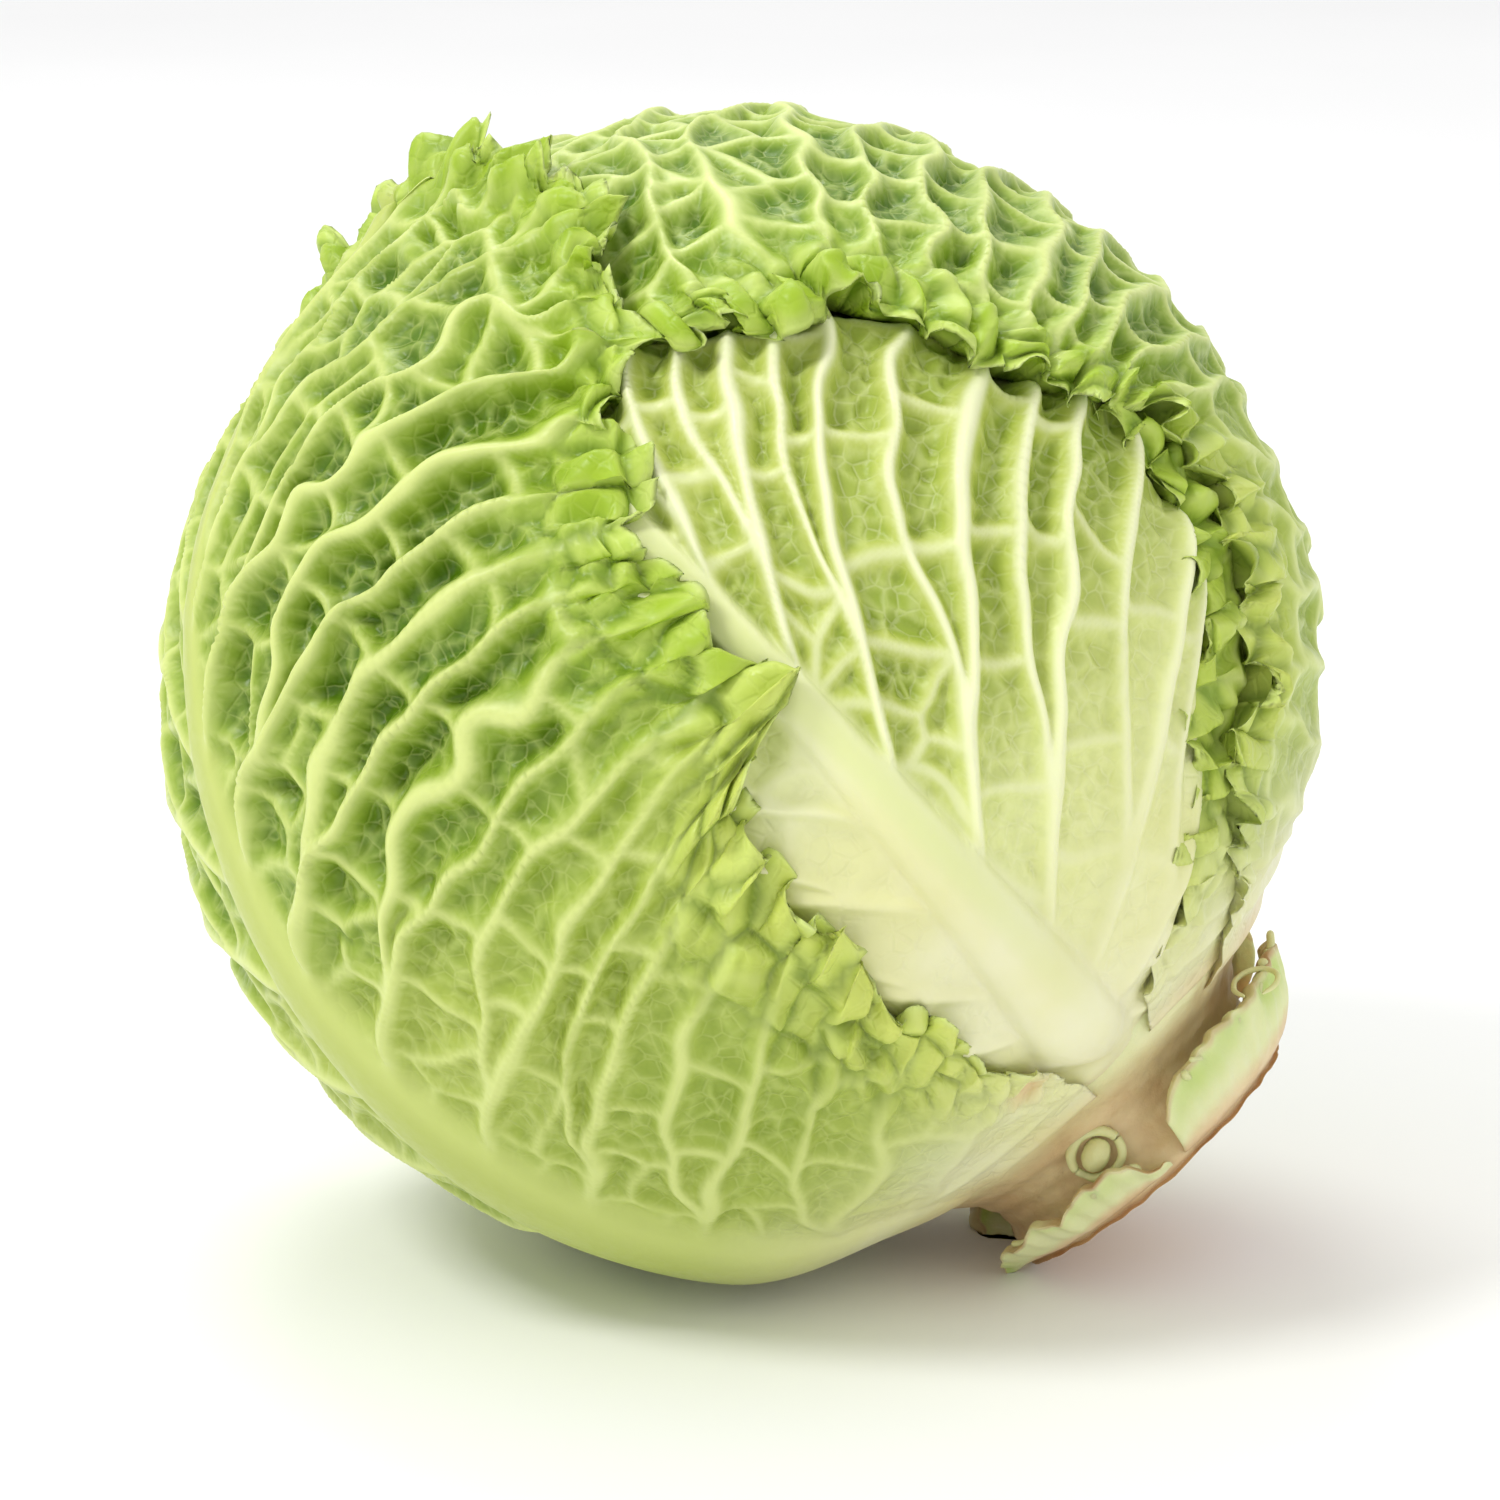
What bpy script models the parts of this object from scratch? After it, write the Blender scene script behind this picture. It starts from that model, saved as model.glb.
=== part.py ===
"""A savoy cabbage head, trimmed and lying on its side with its cut stump low at the front right.

Units are metres, +Z is up, and the origin is the middle of the small flat spot that the head rests on.
Every leaf is a thin blade wrapped round the head. It is laid out in its own chart: ALONG runs in degrees
from the stump over the head, down the leaf's midrib, and ASIDE is the angle to the side of the midrib.
"""

import math

import bmesh
import bpy
import numpy as np
from mathutils import Matrix, Vector

MM = 0.001
HEAD_RADIUS = 90 * MM
FLAT_SPOT_SINK = 1.25 * MM
HEAD_CENTRE = np.array([0.0, 0.0, HEAD_RADIUS - FLAT_SPOT_SINK])
STUMP_AXIS = np.array([0.665, -0.082, -0.742])
FRONT_SIDE = np.array([0.10, -0.97, 0.20])
FLOOR_CLEARANCE = 0.3 * MM
NARROWING_AT_STUMP = 3.0 * MM

BLADE_THICKNESS = 1.2 * MM
MIDRIB_THICKNESS = 4.5 * MM
MARGIN_FLARE = 3.6 * MM
RUFFLE_HEIGHT = 4.2 * MM
RUFFLE_LENGTHS = (13 * MM, 21 * MM)
FRILL_REACH = 11 * MM
LATERAL_HEIGHT = 2.0 * MM
LATERAL_HALF_WIDTH = 2.4 * MM
CROSS_VEINS = 8
BESIDE_MIDRIB = 0.025
BRANCHING_AT = 0.45

HEART_RADIUS = 76.4 * MM
HEART_PUCKER = 0.5 * MM
STUMP_SIDES = 40
# The stump is turned about its axis: radius, then height above the head's centre, both in mm.
STUMP_PROFILE = ((0, 58), (39.4, 68.2), (41, 72), (38, 77), (31.5, 81), (27, 85), (25, 90),
                 (26, 95), (25.5, 97), (0, 97))

# Cut petioles on the stump: first and last angle round it, height and radius at the root,
# height and radius at the torn edge, thickness. Angles in degrees, the rest in mm.
PETIOLE_STUBS = (
    (-96, -4, 96.5, 23.5, 84.5, 35.0, 4.2),
    (2, 78, 96.5, 23.0, 90.0, 32.0, 3.6),
    (-134, -101, 90.0, 26.0, 80.0, 36.0, 3.0),
    (110, 205, 96.0, 23.5, 88.0, 33.0, 3.8),
)

# turn: the midrib's angle round the stump. bare, under: how far the blade lies outside (+) or inside (-)
# the head's radius where it shows and where another leaf covers it, in mm. hollow: depth of its cells, in mm.
# roots: where each lateral vein leaves the midrib, ALONG in degrees, and last the midrib's own end.
# low, high: where each lateral ends on the margin, as (ALONG, ASIDE), on either side; tip: the leaf's tip.
LEAVES = {
    "leaf_left": dict(
        turn=66, bare=0.0, under=0.0, hollow=3.4, covers=(), rows_per_lateral=4,
        roots=(32, 40, 50, 61, 73, 85, 97, 109, 121, 133, 146), tip=(192, -8),
        low=((17, -28), (44, -43), (66, -51), (84, -53), (97, -62), (113, -61), (130, -57),
             (146, -54), (165, -51), (184, -39)),
        high=((17, 28), (42, 48), (60, 58), (76, 62), (92, 64), (108, 63), (126, 60),
              (144, 54), (162, 44), (180, 26))),
    "leaf_right": dict(
        turn=-112, bare=0.3, under=-6.2, hollow=3.5, covers=("leaf_left",), rows_per_lateral=4,
        roots=(32, 40, 49, 60, 72, 85, 98, 111, 124, 137, 150), tip=(200, 40),
        low=((17, -28), (40, -48), (58, -58), (76, -62), (94, -62), (112, -60), (130, -54),
             (150, -44), (170, -26), (190, 0)),
        high=((9.5, 31.7), (18, 50), (42, 52), (62, 55), (82, 60), (100, 67), (118, 71),
              (136, 67), (156, 63), (180, 58))),
    "leaf_inner_right": dict(
        turn=-80, bare=-4.0, under=-8.0, hollow=1.6, covers=("leaf_right", "leaf_left"), rows_per_lateral=2,
        roots=(32, 42, 54, 66, 80, 95, 110), tip=(118, 0),
        low=((17, -26), (38, -38), (56, -42), (74, -42), (90, -38), (106, -26)),
        high=((16, 32), (34, 37), (54, 37), (68, 32), (84, 31), (105, 24))),
    "leaf_back": dict(
        turn=150, bare=-3.5, under=-8.0, hollow=1.8, covers=("leaf_right", "leaf_left"), rows_per_lateral=2,
        roots=(32, 46, 60, 76, 94, 114, 136), tip=(165, 0),
        low=((17, -27), (46, -46), (66, -56), (88, -58), (112, -54), (140, -40)),
        high=((17, 27), (46, 46), (66, 56), (88, 58), (112, 54), (140, 40))),
    "leaf_front": dict(
        turn=0, bare=-3.4, under=-10.4, hollow=1.8,
        covers=("leaf_left", "leaf_right", "leaf_inner_right", "leaf_back"), rows_per_lateral=4,
        roots=(32, 38, 44, 50, 62, 74, 88, 98, 108), tip=(142, 0),
        low=((18, -27), (62, -56), (76, -64), (104, -60), (116, -52), (134, -40), (138, -30), (140, -15)),
        high=((18, 27), (48, 36), (62, 38), (78, 38), (94, 36), (108, 34), (122, 30), (134, 20))),
}
LEAF_COLOURS = {
    "leaf_left": (0.26, 0.44, 0.08, 1.0),
    "leaf_right": (0.28, 0.46, 0.09, 1.0),
    "leaf_inner_right": (0.42, 0.58, 0.16, 1.0),
    "leaf_back": (0.40, 0.56, 0.16, 1.0),
    "leaf_front": (0.68, 0.74, 0.38, 1.0),
}
STUMP_COLOUR = (0.72, 0.62, 0.36, 1.0)


# Small mathematics

def unit(vectors):
    return vectors / np.linalg.norm(vectors, axis=-1, keepdims=True)


def smoothstep(low, high, values):
    t = np.clip((values - low) / (high - low), 0.0, 1.0)
    return t * t * (3.0 - 2.0 * t)


def through_points(points, at):
    """A smooth curve through the rows of points, read at fractional row numbers."""
    points = np.asarray(points, float)
    last = len(points) - 1
    row = np.clip(np.floor(at).astype(int), 0, last - 1)
    t = (at - row).reshape(-1, *[1] * (points.ndim - 1))
    before, start = points[np.maximum(row - 1, 0)], points[row]
    end, after = points[row + 1], points[np.minimum(row + 2, last)]
    return 0.5 * (2 * start + (end - before) * t + (2 * before - 5 * start + 4 * end - after) * t ** 2
                  + (3 * start - before - 3 * end + after) * t ** 3)


# The head's charts

AXIS = unit(STUMP_AXIS)
FRONT = unit(FRONT_SIDE - AXIS * (FRONT_SIDE @ AXIS))
LEFT = np.cross(AXIS, FRONT)


def chart_direction(turn, along, aside):
    """The direction from the head's centre of a point in the chart of a leaf with this turn."""
    middle = math.cos(math.radians(turn)) * FRONT + math.sin(math.radians(turn)) * LEFT
    side = np.cross(AXIS, middle)
    along, aside = np.radians(along)[:, None], np.radians(aside)[:, None]
    return np.cos(aside) * (np.cos(along) * AXIS + np.sin(along) * middle) + np.sin(aside) * side


def leaf_point(leaf, row, reach, side):
    """ALONG and ASIDE at a lateral's row number and at reach, from 0 at the midrib to 1 at the margin."""
    root = through_points(leaf["roots"], row)
    ends = through_points((leaf["low"] if side < 0 else leaf["high"]) + (leaf["tip"],), row)
    run, spread = ends[:, 0] - root, ends[:, 1]
    upper = smoothstep(0.0, 1.5, row)
    bend_along = root + run * 0.45 * upper
    bend_aside = spread * (0.62 - 0.36 * upper)
    along = (1 - reach) ** 2 * root + 2 * (1 - reach) * reach * bend_along + reach ** 2 * ends[:, 0]
    aside = 2 * (1 - reach) * reach * bend_aside + reach ** 2 * ends[:, 1]
    return along, aside


def leaf_direction(leaf, row, reach, side):
    along, aside = leaf_point(leaf, row, reach, side)
    return chart_direction(leaf["turn"], along, aside)


# How leaves cover each other

def flat_map(middle, directions):
    """Directions as points of a plane round middle, with true distances from it on the head, in metres."""
    across = unit(np.cross(middle, AXIS))
    upward = np.cross(middle, across)
    x, y, z = directions @ across, directions @ upward, directions @ middle
    distance = np.arctan2(np.hypot(x, y), z) * HEAD_RADIUS
    return np.stack([x, y], -1) * (distance / np.maximum(np.hypot(x, y), 1e-9))[:, None]


def depth_inside(leaf, directions):
    """How far each direction lies inside the leaf's outline, in metres, negative outside."""
    last = len(leaf["roots"]) - 1
    rows = np.linspace(0, last, 8 * last + 1)
    margin_low = leaf_direction(leaf, rows, np.ones_like(rows), -1)
    margin_high = leaf_direction(leaf, rows, np.ones_like(rows), 1)[::-1]
    reach = np.linspace(0, 1, 6)
    base = leaf_direction(leaf, np.zeros(6), reach, -1)[1:-1]
    middle = chart_direction(leaf["turn"], np.array([95.0]), np.array([0.0]))[0]
    outline = flat_map(middle, np.concatenate([margin_low, margin_high, base]))
    points = flat_map(middle, directions)
    start, end = outline, np.roll(outline, -1, axis=0)
    edge = end - start
    offset = points[:, None, :] - start[None]
    t = np.clip((offset * edge).sum(-1) / np.maximum((edge ** 2).sum(-1), 1e-12), 0, 1)
    distance = np.linalg.norm(offset - t[..., None] * edge, axis=-1).min(1)
    straddles = (start[:, 1] > points[:, None, 1]) != (end[:, 1] > points[:, None, 1])
    rise = np.where(np.abs(edge[:, 1]) < 1e-12, 1e-12, edge[:, 1])
    crossing = start[:, 0] + (points[:, None, 1] - start[:, 1]) * edge[:, 0] / rise
    inside = (straddles & (points[:, None, 0] < crossing)).sum(1) % 2 == 1
    return np.where(inside, distance, -distance)


def covered(leaf, directions):
    """1 where another leaf lies over this one, 0 where it shows, with a soft step before the margin."""
    cover = np.zeros(len(directions))
    for name in leaf["covers"]:
        cover = np.maximum(cover, smoothstep(-9 * MM, -1.5 * MM, depth_inside(LEAVES[name], directions)))
    return cover


# The blade's relief

def arc_lengths(leaf, row, reach, side):
    """Length of the lateral at row, spacing of the laterals there, and distance along the margin, in metres."""
    whole = HEAD_RADIUS * np.linalg.norm(leaf_direction(leaf, row, np.ones_like(row), side)
                                         - leaf_direction(leaf, row, np.zeros_like(row), side), axis=1)
    before, after = np.maximum(row - 0.25, 0), np.minimum(row + 0.25, len(leaf["roots"]) - 1)
    step = leaf_direction(leaf, after, reach, side) - leaf_direction(leaf, before, reach, side)
    spacing = HEAD_RADIUS * np.linalg.norm(step, axis=1) / (after - before)
    samples = np.linspace(0, len(leaf["roots"]) - 1, 200)
    margin = leaf_direction(leaf, samples, np.ones_like(samples), side) * HEAD_RADIUS
    travelled = np.concatenate([[0], np.cumsum(np.linalg.norm(np.diff(margin, axis=0), axis=1))])
    return whole, spacing, np.interp(row, samples, travelled)


def net_distance(row, reach, whole, spacing):
    """Distance to the nearest lateral, and to the nearest vein of any kind, in metres."""
    lateral = np.abs(row - np.round(row)) * spacing
    branch = np.abs(row - 0.5 - np.round(row - 0.5)) * spacing + 1.0 * (reach < BRANCHING_AT)
    cells_across = np.where(reach < BRANCHING_AT, 1, 2)
    staggered = 0.5 * (np.floor(row * cells_across + 1e-6) % 2)
    across = reach * CROSS_VEINS - staggered
    cross = np.abs(across - np.round(across)) / CROSS_VEINS * whole
    return lateral, np.minimum(np.minimum(lateral, branch), cross)


def blade_surface(leaf, row, reach, side):
    """Points of the blade's outer face, and its thickness there."""
    along, aside = leaf_point(leaf, row, reach, side)
    outward = chart_direction(leaf["turn"], along, aside)
    cover = covered(leaf, outward)
    bare = 1.0 - cover
    whole, spacing, travelled = arc_lengths(leaf, row, reach, side)
    lateral, vein = net_distance(row, reach, whole, spacing)
    from_midrib = np.abs(np.radians(aside)) * HEAD_RADIUS
    to_margin = (1.0 - reach) * whole
    midrib_end = leaf["roots"][-1]
    slimming = np.clip((midrib_end + 6 - along) / (midrib_end - 24), 0.0, 1.0)
    half_width = (2.0 + 7.0 * slimming) * MM
    midrib = np.clip(1.0 - (from_midrib / half_width) ** 2, 0.0, 1.0) ** 0.6 * slimming ** 0.4

    away_from_floor = smoothstep(3 * MM, 16 * MM, HEAD_CENTRE[2] + HEAD_RADIUS * outward[:, 2])
    smooth_base = smoothstep(38, 75, along + 0.35 * np.abs(aside))
    off_midrib = smoothstep(0.6, 1.6, from_midrib / half_width)
    depth = leaf["hollow"] * MM * (0.35 + 0.65 * smooth_base) * (0.15 + 0.85 * bare) * off_midrib
    hollow = -depth * smoothstep(0.2 * MM, 5 * MM, vein) * away_from_floor
    ridge = LATERAL_HEIGHT * np.exp(-(lateral / LATERAL_HALF_WIDTH) ** 2) * off_midrib * (1 - 0.6 * reach)
    ridge = ridge * (0.1 + 0.9 * bare) * away_from_floor
    rib = midrib * (1.0 + 3.2 * slimming) * MM * (0.15 + 0.85 * bare)

    frill = np.exp(-(to_margin / FRILL_REACH) ** 2) * bare * away_from_floor * smoothstep(0.0, 0.8, row)
    wave = sum(np.sin(2 * np.pi * travelled / length + side * 1.3 + i * 2.1)
               for i, length in enumerate(RUFFLE_LENGTHS)) / len(RUFFLE_LENGTHS)
    flare = frill * (MARGIN_FLARE + RUFFLE_HEIGHT * wave)

    layer = (leaf["bare"] * bare + leaf["under"] * cover) * MM
    from_stump = np.degrees(np.arccos(np.clip(outward @ AXIS, -1, 1)))
    narrowing = NARROWING_AT_STUMP * smoothstep(46, 30, from_stump) * bare
    radius = HEAD_RADIUS + layer + hollow + ridge + rib + flare - narrowing
    points = HEAD_CENTRE + outward * radius[:, None]
    lowest = 0.0 if leaf is LEAVES["leaf_left"] else 2 * FLOOR_CLEARANCE
    points[:, 2] = np.maximum(points[:, 2], lowest)
    thickness = BLADE_THICKNESS + midrib * slimming * bare * (MIDRIB_THICKNESS - BLADE_THICKNESS)
    return points, thickness


# Building a blade's mesh

def column_plan(leaf):
    """Where the blade's columns of points stand between midrib and margin, and their points per lateral."""
    rows = leaf["rows_per_lateral"]
    if rows == 2:
        return [(reach, 1 if reach < 0.1 else 2) for reach in np.linspace(0, 1, CROSS_VEINS + 1)]
    reaches = np.insert(np.linspace(0, 1, 2 * CROSS_VEINS + 1), 1, BESIDE_MIDRIB)
    return [(reach, 2 if reach < BRANCHING_AT else 4 if reach < 0.95 else 8)
            for reach in reaches]


def strip(inner, outer):
    """Triangles between two columns, where the outer one has as many points as the inner or twice as many."""
    faces = []
    if len(inner) == len(outer):
        for i in range(len(inner) - 1):
            a, b, c, d = inner[i], inner[i + 1], outer[i + 1], outer[i]
            faces += [(a, b, c), (a, c, d)] if (len(inner) - i) % 2 else [(a, b, d), (b, c, d)]
        return faces
    for i in range(len(inner) - 1):
        a, b, m = inner[i], inner[i + 1], outer[2 * i + 1]
        faces += [(a, m, outer[2 * i]), (a, b, m), (b, outer[2 * i + 2], m)]
    return faces


def blade_mesh(leaf):
    """Chart coordinates of the points of one blade and its triangles; both halves share midrib and tip line."""
    last = len(leaf["roots"]) - 1
    rows, reaches, sides, faces, shared_tip, midrib = [], [], [], [], [], []
    for side in (-1, 1):
        before = None
        for place, (reach, density) in enumerate(column_plan(leaf)):
            if place == 0 and side == 1:
                column = midrib
            else:
                count = last * density + 1
                kept = count if side == -1 else count - 1
                column = list(range(len(rows), len(rows) + kept))
                rows += [i / density for i in range(kept)]
                reaches += [reach] * kept
                sides += [side] * kept
                if side == -1:
                    shared_tip.append(column[-1])
                else:
                    column.append(shared_tip[place])
            if place == 0 and side == -1:
                midrib = column
            if before is not None:
                faces += [face if side < 0 else face[::-1] for face in strip(before, column)]
            before = column
    return np.array(rows, float), np.array(reaches, float), np.array(sides), faces


def make_leaf(name, collection):
    leaf = LEAVES[name]
    rows, reaches, sides, faces = blade_mesh(leaf)
    points = np.zeros((len(rows), 3))
    thickness = np.zeros(len(rows))
    for side in (-1, 1):
        mine = sides == side
        points[mine], thickness[mine] = blade_surface(leaf, rows[mine], reaches[mine], side)
    mesh = bpy.data.meshes.new(name)
    mesh.from_pydata(points.tolist(), [], faces)
    blade = bpy.data.objects.new(name, mesh)
    collection.objects.link(blade)
    first = mesh.polygons[0]
    if first.normal.dot(first.center - Vector(HEAD_CENTRE)) < 0:
        mesh.flip_normals()
    group = blade.vertex_groups.new(name="thickness")
    for index, value in enumerate(thickness):
        group.add([index], float(value / MIDRIB_THICKNESS), "REPLACE")
    solidify = blade.modifiers.new("Solidify", "SOLIDIFY")
    solidify.thickness = MIDRIB_THICKNESS
    solidify.offset = -1.0
    solidify.vertex_group = group.name
    finish_object(blade, LEAF_COLOURS[name], roughness=0.45)
    return blade


# Stump and heart

def frame_matrix():
    """From the stump's own frame, with +Z along its axis and +X to the front, to the world."""
    columns = np.stack([FRONT, LEFT, AXIS], axis=1)
    return Matrix.Translation(Vector(HEAD_CENTRE)) @ Matrix(columns.tolist()).to_4x4()


def turned_stump(collection):
    profile = bpy.data.meshes.new("stump_profile")
    points = [(radius * MM, 0.0, height * MM) for radius, height in reversed(STUMP_PROFILE)]
    profile.from_pydata(points, [(i, i + 1) for i in range(len(points) - 1)], [])
    stump = bpy.data.objects.new("stump_and_heart", profile)
    collection.objects.link(stump)
    stump.matrix_world = frame_matrix()
    screw = stump.modifiers.new("Screw", "SCREW")
    screw.steps = screw.render_steps = STUMP_SIDES
    screw.use_merge_vertices = True
    screw.merge_threshold = 0.0001
    return stump


def heart_ball(collection):
    """The dense inner leaves, packed round the core of the stump, with the shallow puckers of their veins."""
    mesh = bpy.data.meshes.new("heart")
    shape = bmesh.new()
    bmesh.ops.create_icosphere(shape, subdivisions=3, radius=HEART_RADIUS)
    for vertex in shape.verts:
        x, y, z = vertex.co.normalized()
        around = math.atan2(y, x)
        pucker = math.sin(5 * around + 9 * z) * math.cos(7 * z - 2 * around)
        vertex.co *= 1.0 + HEART_PUCKER / HEART_RADIUS * pucker
    shape.to_mesh(mesh)
    shape.free()
    heart = bpy.data.objects.new("heart", mesh)
    collection.objects.link(heart)
    heart.matrix_world = frame_matrix()
    return heart


def petiole_stub(number, collection):
    """One cut petiole, a curved plate rooted in the stump's rim, with a torn edge towards the head."""
    first, last, root_height, root_radius, edge_height, edge_radius, thickness = PETIOLE_STUBS[number]
    across = max(4, round((last - first) / 9))
    up = 3
    points, faces = [], []
    for i in range(across + 1):
        side = 2 * i / across - 1
        angle = math.radians(first + (last - first) * i / across)
        tear = 0.9 * math.sin(2.3 * i + number) + 2.2 * abs(side) ** 3
        for j in range(up + 1):
            rise = j / up
            radius = root_radius + (edge_radius - root_radius) * rise ** 0.5 - 1.5 * rise * side ** 2
            height = root_height + (edge_height + tear - root_height) * rise
            points.append((radius * math.cos(angle) * MM, radius * math.sin(angle) * MM, height * MM))
    for i in range(across):
        for j in range(up):
            a = i * (up + 1) + j
            faces.append((a, a + 1, a + up + 2, a + up + 1))
    mesh = bpy.data.meshes.new(f"petiole_{number}")
    mesh.from_pydata(points, [], faces)
    stub = bpy.data.objects.new(f"petiole_{number}", mesh)
    collection.objects.link(stub)
    stub.matrix_world = frame_matrix()
    solidify = stub.modifiers.new("Solidify", "SOLIDIFY")
    solidify.thickness = thickness * MM
    solidify.offset = 0.0
    return stub


def make_stump_and_heart(collection, joined):
    """One solid: the stump with its cut petioles, and the dense heart that grows on it."""
    stump = turned_stump(collection)
    pieces = [heart_ball(joined)] + [petiole_stub(i, joined) for i in range(len(PETIOLE_STUBS))]
    bpy.context.view_layer.update()
    union = stump.modifiers.new("Union", "BOOLEAN")
    union.operation = "UNION"
    union.operand_type = "COLLECTION"
    union.collection = joined
    bpy.context.view_layer.update()
    evaluated = stump.evaluated_get(bpy.context.evaluated_depsgraph_get())
    solid = bpy.data.meshes.new_from_object(evaluated)
    stump.modifiers.clear()
    stump.data = solid
    solid.transform(stump.matrix_world)
    stump.matrix_world = Matrix.Identity(4)
    for piece in pieces:
        bpy.data.objects.remove(piece)
    for vertex in solid.vertices:
        vertex.co.z = max(vertex.co.z, 0.0)
    finish_object(stump, STUMP_COLOUR, roughness=0.6)
    return stump


# Shared finishing

def finish_object(piece, colour, roughness):
    material = bpy.data.materials.new(piece.name)
    material.use_nodes = True
    shader = material.node_tree.nodes["Principled BSDF"]
    shader.inputs["Base Color"].default_value = colour
    shader.inputs["Roughness"].default_value = roughness
    shader.inputs["Metallic"].default_value = 0.0
    piece.data.materials.clear()
    piece.data.materials.append(material)
    piece.data.shade_smooth()


def main():
    for old in list(bpy.data.objects):
        bpy.data.objects.remove(old)
    cabbage = bpy.data.collections.new("savoy_cabbage")
    joined = bpy.data.collections.new("joined_into_the_stump")
    bpy.context.scene.collection.children.link(cabbage)
    bpy.context.scene.collection.children.link(joined)
    make_stump_and_heart(cabbage, joined)
    for name in LEAVES:
        make_leaf(name, cabbage)


main()
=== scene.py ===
"""The looks of the savoy cabbage: finely crinkled leaves, a torn and cut stump, a pale studio floor.

All shapes are worked out in millimetres in the row's frame and turned into metres when a mesh is made.
A leaf is laid out as in the solids: ALONG runs in degrees from the stump down the midrib, and ASIDE is
the angle to the side of it. ROW numbers the lateral veins from the base, and REACH runs from 0 at the
midrib to 1 at the margin, negative on the leaf's low side and positive on its high side.
"""

import itertools
import math
from types import SimpleNamespace

import bmesh
import bpy
import numpy as np
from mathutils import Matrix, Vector


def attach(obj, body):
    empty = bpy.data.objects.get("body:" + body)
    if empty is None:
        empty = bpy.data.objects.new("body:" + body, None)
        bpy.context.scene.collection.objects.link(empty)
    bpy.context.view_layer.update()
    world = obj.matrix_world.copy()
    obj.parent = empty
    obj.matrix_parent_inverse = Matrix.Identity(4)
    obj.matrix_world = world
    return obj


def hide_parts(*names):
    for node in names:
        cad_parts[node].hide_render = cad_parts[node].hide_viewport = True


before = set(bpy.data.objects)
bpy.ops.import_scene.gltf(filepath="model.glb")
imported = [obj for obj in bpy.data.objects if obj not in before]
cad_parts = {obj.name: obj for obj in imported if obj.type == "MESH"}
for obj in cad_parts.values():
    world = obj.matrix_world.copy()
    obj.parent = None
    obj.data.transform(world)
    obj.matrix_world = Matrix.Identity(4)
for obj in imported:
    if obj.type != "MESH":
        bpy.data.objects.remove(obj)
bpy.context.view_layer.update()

MM = 0.001
HEAD_RADIUS = 90.0
FLAT_SPOT_SINK = 1.25
HEAD_CENTRE = np.array([0.0, 0.0, HEAD_RADIUS - FLAT_SPOT_SINK])
STUMP_AXIS = np.array([0.665, -0.082, -0.742])
FRONT_SIDE = np.array([0.10, -0.97, 0.20])
NARROWING_AT_STUMP = 3.0
BLADE_THICKNESS = 0.9
BASE_END = 21.0
BASE_ROW_LENGTH = 9.0
HEART_RADIUS = 75.4
FLOOR_GAP = 0.05
HIDDEN_STEP = 6.0
FORK_START, FORK_END = 0.26, 0.6
FINE_CELL = ((5.6, 4.6), (5.0, 4.2))
PAD_SIZE = (6.0, 5.8)
PAD_DOME = 2.7

# turn, covers, roots, low, high, tip: as in the solids.
# bare, under: how far from the head's radius the blade lies where it shows and where it is covered.
# depth: how deep the cells lie where the leaf is green and where it is pale.
# cell: length and width of the cells at the base and at the tip.
# ribs: half the width of a lateral vein at the midrib and at the margin.
# rib: half the midrib's width at the tip and what is added to it at the base.
# dive: how far under the leaves above the blade starts to sink and has sunk.
# zigzag: how far the laterals stray, in rows, at the base and at the tip.
# step: wanted length of the mesh's edges where the leaf shows.
# rise: the midrib's height at the tip and what is added to it at the base.
# emerges: how far under the leaves above the midrib is gone and has its full height.
# seat: share of bare that the base keeps.
# crest: height of the laterals at the midrib.
# plain: strength of the smaller veins' colour.
THIN = dict(rise=(0.8, 3.4), emerges=(5, -2), seat=0.35, crest=1.1, plain=0.85)
FLESHY = dict(rise=(1.6, 4.6), emerges=(0, -8), seat=0.8, crest=1.8, plain=0.6)
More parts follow.
